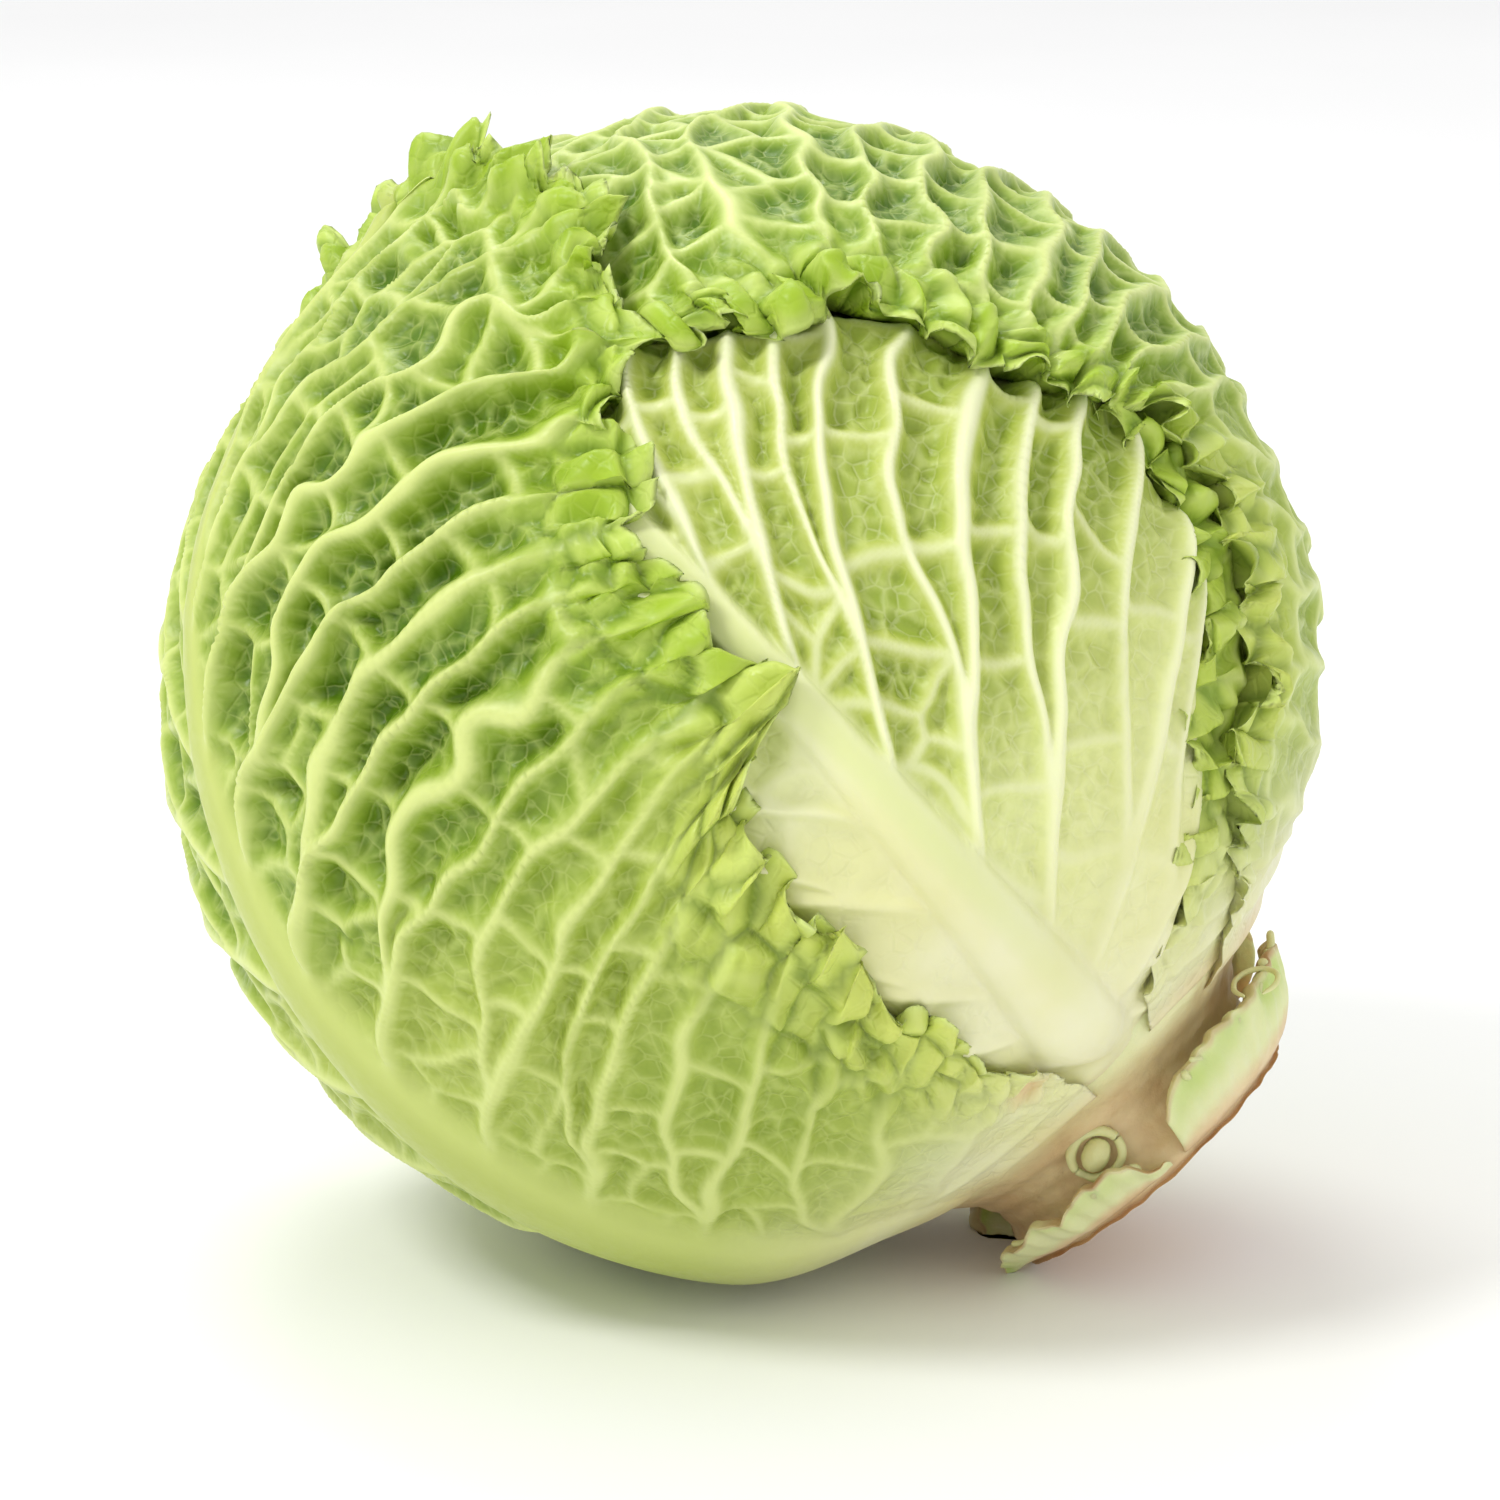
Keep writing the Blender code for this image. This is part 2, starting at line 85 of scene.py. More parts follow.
LEAVES = {
    "leaf_left": dict(
        turn=66, bare=0.0, under=0.0, covers=(),
        roots=(32, 40, 50, 61, 73, 85, 97, 109, 121, 133, 146), tip=(192, -8),
        low=((17, -28), (44, -43), (66, -51), (84, -53), (97, -62), (113, -61), (130, -57),
             (146, -54), (165, -51), (184, -39)),
        high=((17, 28), (42, 48), (60, 58), (76, 62), (92, 64), (108, 63), (126, 60),
              (144, 54), (162, 44), (180, 26)),
        depth=(4.2, 1.6), cell=((16, 13), (13, 7)), ribs=(2.0, 0.6), rib=(2.0, 13.0),
        dive=(0, 20), zigzag=(0.11, 0.22), step=1.0, seed=1, **THIN),
    "leaf_right": dict(
        turn=-112, bare=0.3, under=-9.5, covers=("leaf_left",),
        roots=(32, 40, 49, 60, 72, 85, 98, 111, 124, 137, 150), tip=(200, 40),
        low=((17, -28), (40, -48), (58, -58), (76, -62), (94, -62), (112, -60), (130, -54),
             (150, -44), (170, -26), (190, 0)),
        high=((9.5, 31.7), (18, 50), (42, 52), (62, 55), (82, 60), (100, 67), (118, 71),
              (136, 67), (156, 63), (180, 58)),
        depth=(4.0, 1.6), cell=((13, 11), (9, 8)), ribs=(1.5, 0.7), rib=(2.0, 9.0),
        dive=(-8, 10), zigzag=(0.2, 0.17), step=1.0, seed=2, **THIN),
    "leaf_inner_right": dict(
        turn=-80, bare=-3.4, under=-11.0, covers=("leaf_right", "leaf_left"),
        roots=(32, 42, 54, 66, 80, 95, 110), tip=(118, 0),
        low=((17, -26), (38, -38), (56, -42), (74, -42), (90, -38), (106, -26)),
        high=((16, 32), (34, 37), (54, 37), (68, 32), (84, 31), (105, 24)),
        depth=(1.6, 1.0), cell=((10, 8), (9, 7)), ribs=(1.2, 0.5), rib=(1.6, 5.0),
        dive=(0, 20), zigzag=(0.15, 0.2), step=0.95, seed=3, **THIN),
    "leaf_back": dict(
        turn=150, bare=-3.2, under=-11.0, covers=("leaf_right", "leaf_left"),
        roots=(32, 46, 60, 76, 94, 114, 136), tip=(165, 0),
        low=((17, -27), (46, -46), (66, -56), (88, -58), (112, -54), (140, -40)),
        high=((17, 27), (46, 46), (66, 56), (88, 58), (112, 54), (140, 40)),
        depth=(2.2, 1.2), cell=((12, 10), (10, 8)), ribs=(1.4, 0.6), rib=(1.8, 8.0),
        dive=(-4, 14), zigzag=(0.15, 0.2), step=1.15, seed=4, **THIN),
    "leaf_front": dict(
        turn=0, bare=-3.2, under=-12.6,
        covers=("leaf_left", "leaf_right", "leaf_inner_right", "leaf_back"),
        roots=(32, 38, 44, 50, 62, 74, 88, 98, 108), tip=(142, 0),
        low=((18, -27), (62, -56), (76, -64), (104, -60), (116, -52), (134, -40), (138, -30),
             (140, -15)),
        high=((18, 27), (48, 36), (62, 38), (78, 38), (94, 36), (108, 34), (122, 30), (134, 20)),
        depth=(4.6, 2.2), cell=((20, 16), (11, 9)), ribs=(2.1, 0.9), rib=(2.4, 6.5),
        dive=(-1, 13), zigzag=(0.05, 0.13), step=0.8, seed=5, **FLESHY),
}


# Small mathematics

def unit(vectors):
    return vectors / np.linalg.norm(vectors, axis=-1, keepdims=True)


def smoothstep(low, high, values):
    t = np.clip((values - low) / (high - low), 0.0, 1.0)
    return t * t * (3.0 - 2.0 * t)


def through_points(points, at):
    """A smooth curve through the rows of points, read at fractional row numbers."""
    points = np.asarray(points, float)
    last = len(points) - 1
    row = np.clip(np.floor(at).astype(int), 0, last - 1)
    t = (at - row).reshape(-1, *[1] * (points.ndim - 1))
    before, start = points[np.maximum(row - 1, 0)], points[row]
    end, after = points[row + 1], points[np.minimum(row + 2, last)]
    return 0.5 * (2 * start + (end - before) * t + (2 * before - 5 * start + 4 * end - after) * t ** 2
                  + (3 * start - before - 3 * end + after) * t ** 3)


def bell(distance, width):
    return np.exp(-(distance / width) ** 2)


def random_at(cells, seed):
    """One number from 0 to 1 for each whole-number place."""
    mixed = np.sin(cells @ np.array([127.1, 311.7, 74.7]) + 53.7 * seed) * 43758.5453
    return mixed - np.floor(mixed)


def random_for(numbers, seed):
    """One number from 0 to 1 for each whole number."""
    return random_at(np.stack([numbers, 0 * numbers, 0 * numbers], 1), seed)


def noise(points, size, seed):
    """Smooth noise from -1 to 1 whose features are about this many millimetres across."""
    place = points / size + 7.31 * seed
    cell = np.floor(place)
    part = place - cell
    part = part * part * (3.0 - 2.0 * part)
    total = np.zeros(len(points))
    for corner in itertools.product((0, 1), repeat=3):
        weight = np.prod(np.where(np.array(corner) == 1, part, 1.0 - part), axis=1)
        total += weight * random_at(cell + np.array(corner), seed)
    return 2.0 * total - 1.0


def noise_vectors(points, size, seed):
    return np.stack([noise(points, size, seed + 0.37 * axis) for axis in range(3)], axis=1)


def line_noise(distance, size, seed):
    places = np.zeros((len(distance), 3))
    places[:, 0] = distance
    return noise(places, size, seed)


# The head's charts

AXIS = unit(STUMP_AXIS)
FRONT = unit(FRONT_SIDE - AXIS * (FRONT_SIDE @ AXIS))
LEFT = np.cross(AXIS, FRONT)


def chart_direction(turn, along, aside):
    """The direction from the head's centre of a point in the chart of a leaf with this turn."""
    middle = math.cos(math.radians(turn)) * FRONT + math.sin(math.radians(turn)) * LEFT
    side = np.cross(AXIS, middle)
    along, aside = np.radians(along)[:, None], np.radians(aside)[:, None]
    return np.cos(aside) * (np.cos(along) * AXIS + np.sin(along) * middle) + np.sin(aside) * side


def leaf_point(leaf, row, reach):
    """ALONG and ASIDE at a lateral's row number and at reach."""
    far = np.abs(reach)
    root = through_points(leaf["roots"], row)
    low = through_points(leaf["low"] + (leaf["tip"],), row)
    high = through_points(leaf["high"] + (leaf["tip"],), row)
    ends = np.where((reach < 0)[:, None], low, high)
    run, spread = ends[:, 0] - root, ends[:, 1]
    upper = smoothstep(0.0, 1.5, row)
    bend_along = root + run * 0.45 * upper
    bend_aside = spread * (0.62 - 0.36 * upper)
    along = (1 - far) ** 2 * root + 2 * (1 - far) * far * bend_along + far ** 2 * ends[:, 0]
    aside = 2 * (1 - far) * far * bend_aside + far ** 2 * ends[:, 1]
    return along, aside


def leaf_direction(leaf, row, reach):
    """The direction of a place on the leaf; rows from -1 to 0 run on down to the stump's neck."""
    along, aside = leaf_point(leaf, np.maximum(row, 0.0), reach)
    outward = chart_direction(leaf["turn"], along, aside)
    below = np.clip(-row, 0.0, 1.0)[:, None]
    polar = np.arccos(np.clip(outward @ AXIS, -1, 1))[:, None]
    flat = unit(outward - AXIS * (outward @ AXIS)[:, None])
    lower = polar + (math.radians(BASE_END) - polar) * below
    return np.where(below > 0, np.cos(lower) * AXIS + np.sin(lower) * flat, outward)


def flat_map(middle, directions):
    """Directions as points of a plane round middle, with true distances from it on the head."""
    across = unit(np.cross(middle, AXIS))
    upward = np.cross(middle, across)
    x, y, z = directions @ across, directions @ upward, directions @ middle
    distance = np.arctan2(np.hypot(x, y), z) * HEAD_RADIUS
    return np.stack([x, y], -1) * (distance / np.maximum(np.hypot(x, y), 1e-9))[:, None]


def depth_inside(leaf, directions):
    """How far each direction lies inside the leaf's outline, negative outside."""
    last = len(leaf["roots"]) - 1
    rows = np.linspace(0, last, 8 * last + 1)
    full = np.ones_like(rows)
    reach = np.linspace(0, 1, 6)
    edge_low = leaf_direction(leaf, rows, -full)
    edge_high = leaf_direction(leaf, rows, full)[::-1]
    base = leaf_direction(leaf, np.zeros(6), -reach)[1:-1]
    middle = chart_direction(leaf["turn"], np.array([95.0]), np.array([0.0]))[0]
    start = flat_map(middle, np.concatenate([edge_low, edge_high, base]))
    end = np.roll(start, -1, axis=0)
    edge = end - start
    rise = np.where(np.abs(edge[:, 1]) < 1e-9, 1e-9, edge[:, 1])
    result = np.zeros(len(directions))
    for first in range(0, len(directions), 8000):
        points = flat_map(middle, directions[first:first + 8000])[:, None, :]
        offset = points - start[None]
        t = np.clip((offset * edge).sum(-1) / np.maximum((edge ** 2).sum(-1), 1e-9), 0, 1)
        distance = np.linalg.norm(offset - t[..., None] * edge, axis=-1).min(1)
        straddles = (start[:, 1] > points[..., 1]) != (end[:, 1] > points[..., 1])
        crossing = start[:, 0] + (points[..., 1] - start[:, 1]) * edge[:, 0] / rise
        inside = (straddles & (points[..., 0] < crossing)).sum(1) % 2 == 1
        result[first:first + 8000] = np.where(inside, distance, -distance)
    return result


def depth_under_others(leaf, directions):
    """How far each direction lies under the leaves outside this one, negative where it shows."""
    depth = np.full(len(directions), -60.0)
    for name in leaf["covers"]:
        depth = np.maximum(depth, depth_inside(LEAVES[name], directions))
    return depth


def arc_lengths(leaf, row, reach):
    """Length of the lateral, spacing of the laterals there, and way along the margin from the tip."""
    side = np.where(reach < 0, -1.0, 1.0)
    last = len(leaf["roots"]) - 1
    ends = leaf_direction(leaf, row, side)
    whole = HEAD_RADIUS * np.linalg.norm(ends - leaf_direction(leaf, row, 0 * side), axis=1)
    before, after = np.maximum(row - 0.25, -1), np.minimum(row + 0.25, last)
    step = leaf_direction(leaf, after, reach) - leaf_direction(leaf, before, reach)
    spacing = HEAD_RADIUS * np.linalg.norm(step, axis=1) / (after - before)
    samples = np.linspace(last, -1, 240)
    travelled = np.zeros(len(row))
    for one in (-1.0, 1.0):
        margin = HEAD_RADIUS * leaf_direction(leaf, samples, one * np.ones_like(samples))
        steps = np.linalg.norm(np.diff(margin, axis=0), axis=1)
        run = np.concatenate([[0], np.cumsum(steps)])
        mine = side == one
        travelled[mine] = np.interp(row[mine], samples[::-1], run[::-1])
    return whole, spacing, travelled


# Sheets of triangles that are fine where the leaf shows

def coarse_sheet(leaf):
    """Row and reach of the points of a coarse grid over the leaf, and its triangles."""
    rows_up = 2 * len(leaf["roots"])
    across = 16
    half_rows = np.arange(rows_up + 1) / 2 - 1
    row, reach = np.meshgrid(half_rows, np.linspace(-1, 1, across + 1), indexing="ij")
    faces = []
    for i in range(rows_up):
        for j in range(across):
            a = i * (across + 1) + j
            b, c, d = a + 1, a + across + 2, a + across + 1
            faces += [(a, b, c), (a, c, d)] if (i + j) % 2 else [(a, b, d), (b, c, d)]
    return row.ravel(), reach.ravel(), np.array(faces)


def split_long_edges(values, faces, too_long):
    """Cuts each edge that too_long marks in half; values holds one row for each point."""
    edges = np.sort(np.concatenate([faces[:, [0, 1]], faces[:, [1, 2]], faces[:, [2, 0]]]), axis=1)
    unique, inverse = np.unique(edges, axis=0, return_inverse=True)
    inverse = inverse.reshape(3, -1).T
    marked = too_long(unique)
    middle = np.full(len(unique), -1)
    middle[marked] = len(values) + np.arange(marked.sum())
    values = np.concatenate([values, 0.5 * (values[unique[marked, 0]] + values[unique[marked, 1]])])
    cut = middle[inverse]
    count = (cut >= 0).sum(1)
    result = [faces[count == 0]]
    for amount in (1, 2, 3):
        f, m = faces[count == amount], cut[count == amount]
        turn = np.argmax(m >= 0, axis=1) if amount == 1 else (np.argmin(m, axis=1) + 1) % 3
        order = (turn[:, None] + np.arange(3)) % 3
        f, m = np.take_along_axis(f, order, 1), np.take_along_axis(m, order, 1)
        a, b, c = f.T
        p, q, r = m.T
        if amount == 1:
            result += [np.stack([a, p, c], 1), np.stack([p, b, c], 1)]
        elif amount == 2:
            result += [np.stack([p, b, q], 1), np.stack([a, p, q], 1), np.stack([a, q, c], 1)]
        else:
            result += [np.stack([a, p, r], 1), np.stack([p, b, q], 1), np.stack([r, q, c], 1),
                       np.stack([p, q, r], 1)]
    return values, np.concatenate(result)


def refined_sheet(leaf, wanted, rounds=9):
    """Row, reach and depth under the other leaves of a graded sheet's points, and its triangles."""
    row, reach, faces = coarse_sheet(leaf)
    buried = depth_under_others(leaf, leaf_direction(leaf, row, reach))
    values = np.stack([row, reach, buried], axis=1)
    for turn in range(rounds):
        if turn in (1, 3):
            values[:, 2] = depth_under_others(leaf, leaf_direction(leaf, values[:, 0], values[:, 1]))
        spots = HEAD_RADIUS * leaf_direction(leaf, values[:, 0], values[:, 1])
        whole = arc_lengths(leaf, values[:, 0], values[:, 1])[0]
        goal = wanted(values, (1 - np.abs(values[:, 1])) * whole)

        def too_long(edges):
            length = np.linalg.norm(spots[edges[:, 0]] - spots[edges[:, 1]], axis=1)
            return length > 0.65 * (goal[edges[:, 0]] + goal[edges[:, 1]])
        before = len(faces)
        values, faces = split_long_edges(values, faces, too_long)
        if len(faces) == before:
            break
    return values[:, 0], values[:, 1], values[:, 2], faces


# The net of veins

def branch_row(row, far):
    """Where the fork of each lateral runs: it leaves the lateral and ends half way to the next."""
    return np.floor(row) + 0.5 * smoothstep(FORK_START, FORK_END, far)


def field_of(leaf, row, reach):
    """A number for each stretch of blade between two neighbouring laterals or forks."""
    last = len(leaf["roots"]) - 1
    inner = np.minimum(row, last - 1e-6)
    upper = inner > branch_row(inner, np.abs(reach))
    return 4 * np.floor(inner).astype(int) + 2 * upper + (reach > 0)


def cell_seeds(leaf, length, width, rng):
    """Scatters seeds over the leaf, about one for each cell of this length and width in mm."""
    last = len(leaf["roots"]) - 1
    rows, reaches = [], []
    for start, side, upper in itertools.product(range(last), (-1.0, 1.0), (False, True)):
        far = 0.02
        while far < 1.0:
            fork = float(branch_row(np.array([start + 0.01]), np.array([far]))[0])
            low, high = (fork, start + 1.0) if upper else (start, fork)
            here = np.array([0.5 * (low + high)])
            whole, spacing, _ = arc_lengths(leaf, here, np.array([side * far]))
            tipward = here[0] / last
            long = length[0] * (1 - tipward) + length[1] * tipward
            wide = width[0] * (1 - tipward) + width[1] * tipward
            across = (high - low) * spacing[0]
            if across > 0.35 * wide:
                count = max(1, round(across / wide))
                for i in range(count):
                    shift = (i + 0.5 + rng.uniform(-0.28, 0.28)) / count
                    rows.append(low + (high - low) * shift)
                    jump = rng.uniform(-0.42, 0.42) * long / whole[0]
                    reaches.append(side * min(0.995, far + jump))
            far += rng.uniform(0.75, 1.25) * long / whole[0]
    rows, reaches = np.array(rows), np.array(reaches)
    keep = np.abs(reaches) > 0.005
    return rows[keep], reaches[keep]


def nearest_cells(points, owners, seeds, seed_owners):
    """Each point's nearest seed among those of its owner, and how far the edge of that cell is."""
    nearest = np.full(len(points), -1)
    to_edge = np.full(len(points), 50.0)
    order = np.argsort(owners, kind="stable")
    values, starts = np.unique(owners[order], return_index=True)
    for value, mine in zip(values, np.split(order, starts[1:])):
        own = np.nonzero(seed_owners == value)[0]
        if len(own) == 0:
            continue
        gaps = ((points[mine][:, None] - seeds[own][None]) ** 2).sum(-1)
        best = gaps.argmin(1)
        nearest[mine] = own[best]
        if len(own) > 1:
            apart = np.linalg.norm(seeds[own][:, None] - seeds[own][None], axis=-1)
            steps = np.arange(len(mine))
            between = (gaps - gaps[steps, best][:, None]) / (2 * apart[best] + 1e-6)
            between[steps, best] = 50.0
            to_edge[mine] = between.min(1)
    return nearest, to_edge


def vein_net(leaf, row, reach, spots):
    """Distances to the veins of three sizes, and a random number for each cell."""
    rng = np.random.default_rng(leaf["seed"])
    last = len(leaf["roots"]) - 1
    stray = leaf["zigzag"][0] + (leaf["zigzag"][1] - leaf["zigzag"][0]) * np.clip(row / last, 0, 1)
    bend = stray * noise(spots, 9.0, leaf["seed"]) * smoothstep(0.0, 0.4, np.abs(reach))
    bend = bend * smoothstep(-1, 0, row) * smoothstep(last, last - 0.5, row)
    row_bent = np.clip(row + bend, -1, last)
    far = np.abs(reach)
    spacing = arc_lengths(leaf, row_bent, reach)[1]
    lateral = np.abs(row_bent - np.round(row_bent)) * spacing
    fork = np.abs(row_bent - branch_row(row_bent, far)) * spacing + 50.0 * (far < FORK_START)
    field = field_of(leaf, row_bent, reach)
    bent = spots + 2.2 * noise_vectors(spots, 8.0, leaf["seed"] + 2)

    (base_long, base_wide), (tip_long, tip_wide) = leaf["cell"]
    rows, reaches = cell_seeds(leaf, (base_long, tip_long), (base_wide, tip_wide), rng)
    seeds = HEAD_RADIUS * leaf_direction(leaf, rows, reaches)
    cell, second = nearest_cells(bent, field, seeds, field_of(leaf, rows, reaches))

    fine_rows, fine_reaches = cell_seeds(leaf, *FINE_CELL, rng)
    fine_seeds = HEAD_RADIUS * leaf_direction(leaf, fine_rows, fine_reaches)
    fine_field = field_of(leaf, fine_rows, fine_reaches)
    fine_owner, _ = nearest_cells(fine_seeds, fine_field, seeds, field_of(leaf, rows, reaches))
    fine_seeds = np.concatenate([seeds, fine_seeds])
    fine_owner = np.concatenate([np.arange(len(seeds)), fine_owner])
    bent = bent + 0.6 * noise_vectors(spots, 3.5, leaf["seed"] + 4)
    small, third = nearest_cells(bent, cell, fine_seeds, fine_owner)
    variety = random_for(cell, leaf["seed"])
    fine_variety = random_for(small, leaf["seed"] + 1)
    return lateral, fork, second, third, variety, fine_variety, np.clip(spacing / 9.0, 0.12, 1.0)


def pad_pattern(travelled, to_margin, side, spots, seed):
    """The pads of the frill: distance from a pad's edge, place on it and three random numbers."""
    size = np.array(PAD_SIZE)
    place = np.stack([travelled + 400.0 * side, to_margin - 1.0], axis=1)
    place = place + 1.9 * noise_vectors(spots, 5.5, seed + 5)[:, :2]
    place = place + 0.9 * noise_vectors(spots, 2.5, seed + 16)[:, :2]
    home = np.floor(place / size)
    gaps, offsets, centres, numbers = [], [], [], []
    for shift in itertools.product((-1, 0, 1), repeat=2):
        cell = home + np.array(shift)
        named = np.stack([cell[:, 0], cell[:, 1], 0 * cell[:, 0]], axis=1)
        drawn = np.stack([random_at(named, seed + turn) for turn in range(5)], axis=1)
        centre = (cell + 0.5 + 0.76 * (drawn[:, :2] - 0.5)) * size
        offsets.append(place - centre)
        centres.append(centre)
        gaps.append(((place - centre) ** 2).sum(1))
        numbers.append(drawn[:, 2:])
    order = np.argsort(np.stack(gaps), axis=0)
    point = np.arange(len(travelled))
    gaps, offsets = np.stack(gaps), np.stack(offsets)
    centres, numbers = np.stack(centres), np.stack(numbers)
    first, second = order[0], order[1]
    apart = np.linalg.norm(centres[first, point] - centres[second, point], axis=1)
    to_edge = (gaps[second, point] - gaps[first, point]) / (2 * apart + 1e-6)
    return to_edge, offsets[first, point], numbers[first, point]


# The blade's shape and the masks for its colours

def place_on_leaf(name, leaf, row, reach, buried):
    """What a leaf's shape and colours are worked out from at each of its points."""
    p = SimpleNamespace(row=row, reach=reach, far=np.abs(reach), last=len(leaf["roots"]) - 1)
    p.outward = leaf_direction(leaf, row, reach)
    p.along, p.aside = leaf_point(leaf, np.maximum(row, 0.0), reach)
    p.spots = HEAD_RADIUS * p.outward
    p.from_stump = np.degrees(np.arccos(np.clip(p.outward @ AXIS, -1, 1)))
    p.buried = buried
    p.cover = smoothstep(*leaf["dive"], buried)
    p.shown = 1.0 - smoothstep(2.0, 10.0, buried)
    whole, _, p.travelled = arc_lengths(leaf, row, reach)
    p.to_margin = (1.0 - p.far) * whole
    p.off_floor = smoothstep(3.0, 16.0, HEAD_CENTRE[2] + p.spots[:, 2])
    p.relief = (0.1 + 0.9 * p.shown) * p.off_floor
    p.base = smoothstep(30, 62, p.from_stump)
    if name == "leaf_front":
        pale_side = smoothstep(-0.05, 0.1, reach) * smoothstep(110, 80, p.from_stump)
        p.base = smoothstep(36, 80, p.from_stump - 30 * pale_side)
    p.active = p.shown * p.off_floor * smoothstep(-0.35, 0.3, row)
    p.strong = p.active * (0.45 + 0.55 * smoothstep(0.0, 1.6, row))
    return p


def greenness(name, leaf, p):
    """How green each point is, from 0, cream, to 1, deep green."""
    wander = 0.18 * noise(p.spots, 34.0, leaf["seed"] + 6)
    if name == "leaf_front":
        left = smoothstep(-0.05, 0.1, p.reach) * smoothstep(104, 76, p.from_stump)
        amount = 0.46 * smoothstep(56, 96, p.from_stump) + 0.06 * p.far + 0.9 * wander
        return np.clip(amount * (1 - 0.9 * left), 0.0, 0.7)
    if name == "leaf_left":
        amount = 0.3 + 0.7 * smoothstep(88, 136, p.along) + 0.6 * wander
        return np.clip(amount, 0.12, 1.0) * smoothstep(0.0, 0.18, p.far)
    if name == "leaf_right":
        amount = 0.35 + 0.5 * smoothstep(60, 120, p.along) + 0.7 * wander
        return np.clip(amount, 0.1, 1.0) * (0.35 + 0.65 * smoothstep(0.0, 0.2, p.far))
    return np.clip(0.4 + 0.3 * smoothstep(50, 110, p.along) + 0.5 * wander, 0.1, 0.8)


def near_place(leaf, spots, row, reach, size):
    """1 at one place on the leaf, falling away over this many millimetres."""
    middle = HEAD_RADIUS * leaf_direction(leaf, np.array([row]), np.array([reach]))
    return np.exp(-((spots - middle) ** 2).sum(1) / size ** 2)


def midrib_shape(leaf, p):
    """Height of the midrib, a mask that is 0 on it and 1 off it, and a mask of its smooth back."""
    slimming = np.clip((leaf["roots"][-1] + 6 - p.along) / (leaf["roots"][-1] - 24), 0.0, 1.0)
    half_width = leaf["rib"][0] + leaf["rib"][1] * slimming ** 1.3
    across = np.abs(np.radians(p.aside)) * HEAD_RADIUS / half_width
    profile = np.clip(1.0 - across ** 2, 0.0, 1.0) ** 0.6 * slimming ** 0.4
    height = profile * (leaf["rise"][0] + leaf["rise"][1] * slimming)
    height = height * smoothstep(*leaf["emerges"], p.buried) * smoothstep(19, 50, p.from_stump)
    off_midrib = smoothstep(0.75, 1.5, across)
    back = (1 - off_midrib) * (1 - smoothstep(0.3, 1.0, across) * 0.5)
    return height, off_midrib, back


def frill_shape(name, leaf, p):
    """The margin's pads, and how far they lift, sway along the margin and push out over it."""
    seed = leaf["seed"]
    frill, curl = bell(p.to_margin, 8.5) * p.strong, bell(p.to_margin, 4.0) * p.strong
    wander = line_noise(p.travelled, 27.0, seed + 8)
    wide = 8.6 * (1 + 0.3 * wander)
    proud, folds = np.zeros(len(p.row)), np.zeros(len(p.row))
    if name == "leaf_left":
        lower = smoothstep(6.6, 5.0, p.row) * smoothstep(0.0, 1.6, p.row)
        wide = wide * (0.8 + 0.95 * lower + 1.1 * bell(p.row - 6.6, 0.7))
        proud = smoothstep(8.7, 9.7, p.row)
        folds = (6.5 * bell(p.row - 3.9, 0.9) + 3.0 * bell(p.row - 6.7, 1.0)) * (p.reach < 0)
    f = SimpleNamespace(pads=np.exp(-(p.to_margin / wide) ** 4) * p.strong)
    f.edge, on_pad, drawn = pad_pattern(p.travelled, p.to_margin, np.sign(p.reach), p.spots, seed)
    dome = 1 - (1 - np.clip(f.edge / PAD_DOME, 0, 1)) ** 2.2
    tilt = 0.4 * ((drawn[:, 1:] - 0.5) * on_pad).sum(1)
    crumple = 1.5 * noise(p.spots, 2.7, seed + 12) + 1.2 * noise(p.spots, 6.0, seed + 13)
    f.bulge = f.pads * (dome * (1.7 + 3.0 * drawn[:, 0] + tilt) - 1.3 + crumple)

    swell = 0.75 + 0.5 * line_noise(p.travelled, 17.0, seed + 9)
    wave = 2 * np.pi * (p.travelled / 11.5 + 0.5 * wander) + 0.2 * p.to_margin
    ripple = 2 * np.pi * (p.travelled / 4.9 + 0.7 * wander)
    crest = 0.72 * np.sin(wave) - 0.28 * np.cos(2 * wave)
    f.settled = 1.5 * bell(p.to_margin, 12.0) * p.strong * (len(leaf["covers"]) < 3) * (1 - proud)
    f.lift = (frill * (1.0 + 3.5 * proud + (1.9 + 2.2 * proud) * swell * crest)
              + 0.6 * curl * np.sin(ripple))
    spread = 0.35 * f.pads * dome * np.clip(f.edge, 0, 1)
    f.sway = (frill * (1.3 * np.sin(2 * wave + 0.6) + 0.4 * np.sin(ripple + 1.0))
              + spread * on_pad[:, 0])
    lobes = dome * (0.5 + drawn[:, 1]) - 0.4 + 0.9 * line_noise(p.travelled, 2.6, seed + 14)
    f.push = (curl * (2.6 * lobes + 2.4 * np.sin(0.5 * wave + 1.0)) + 1.4 * frill * swell
              + folds * bell(p.to_margin, 11.0) * p.strong
              - spread * on_pad[:, 1] * smoothstep(0.0, 2.0, p.to_margin))
    return f


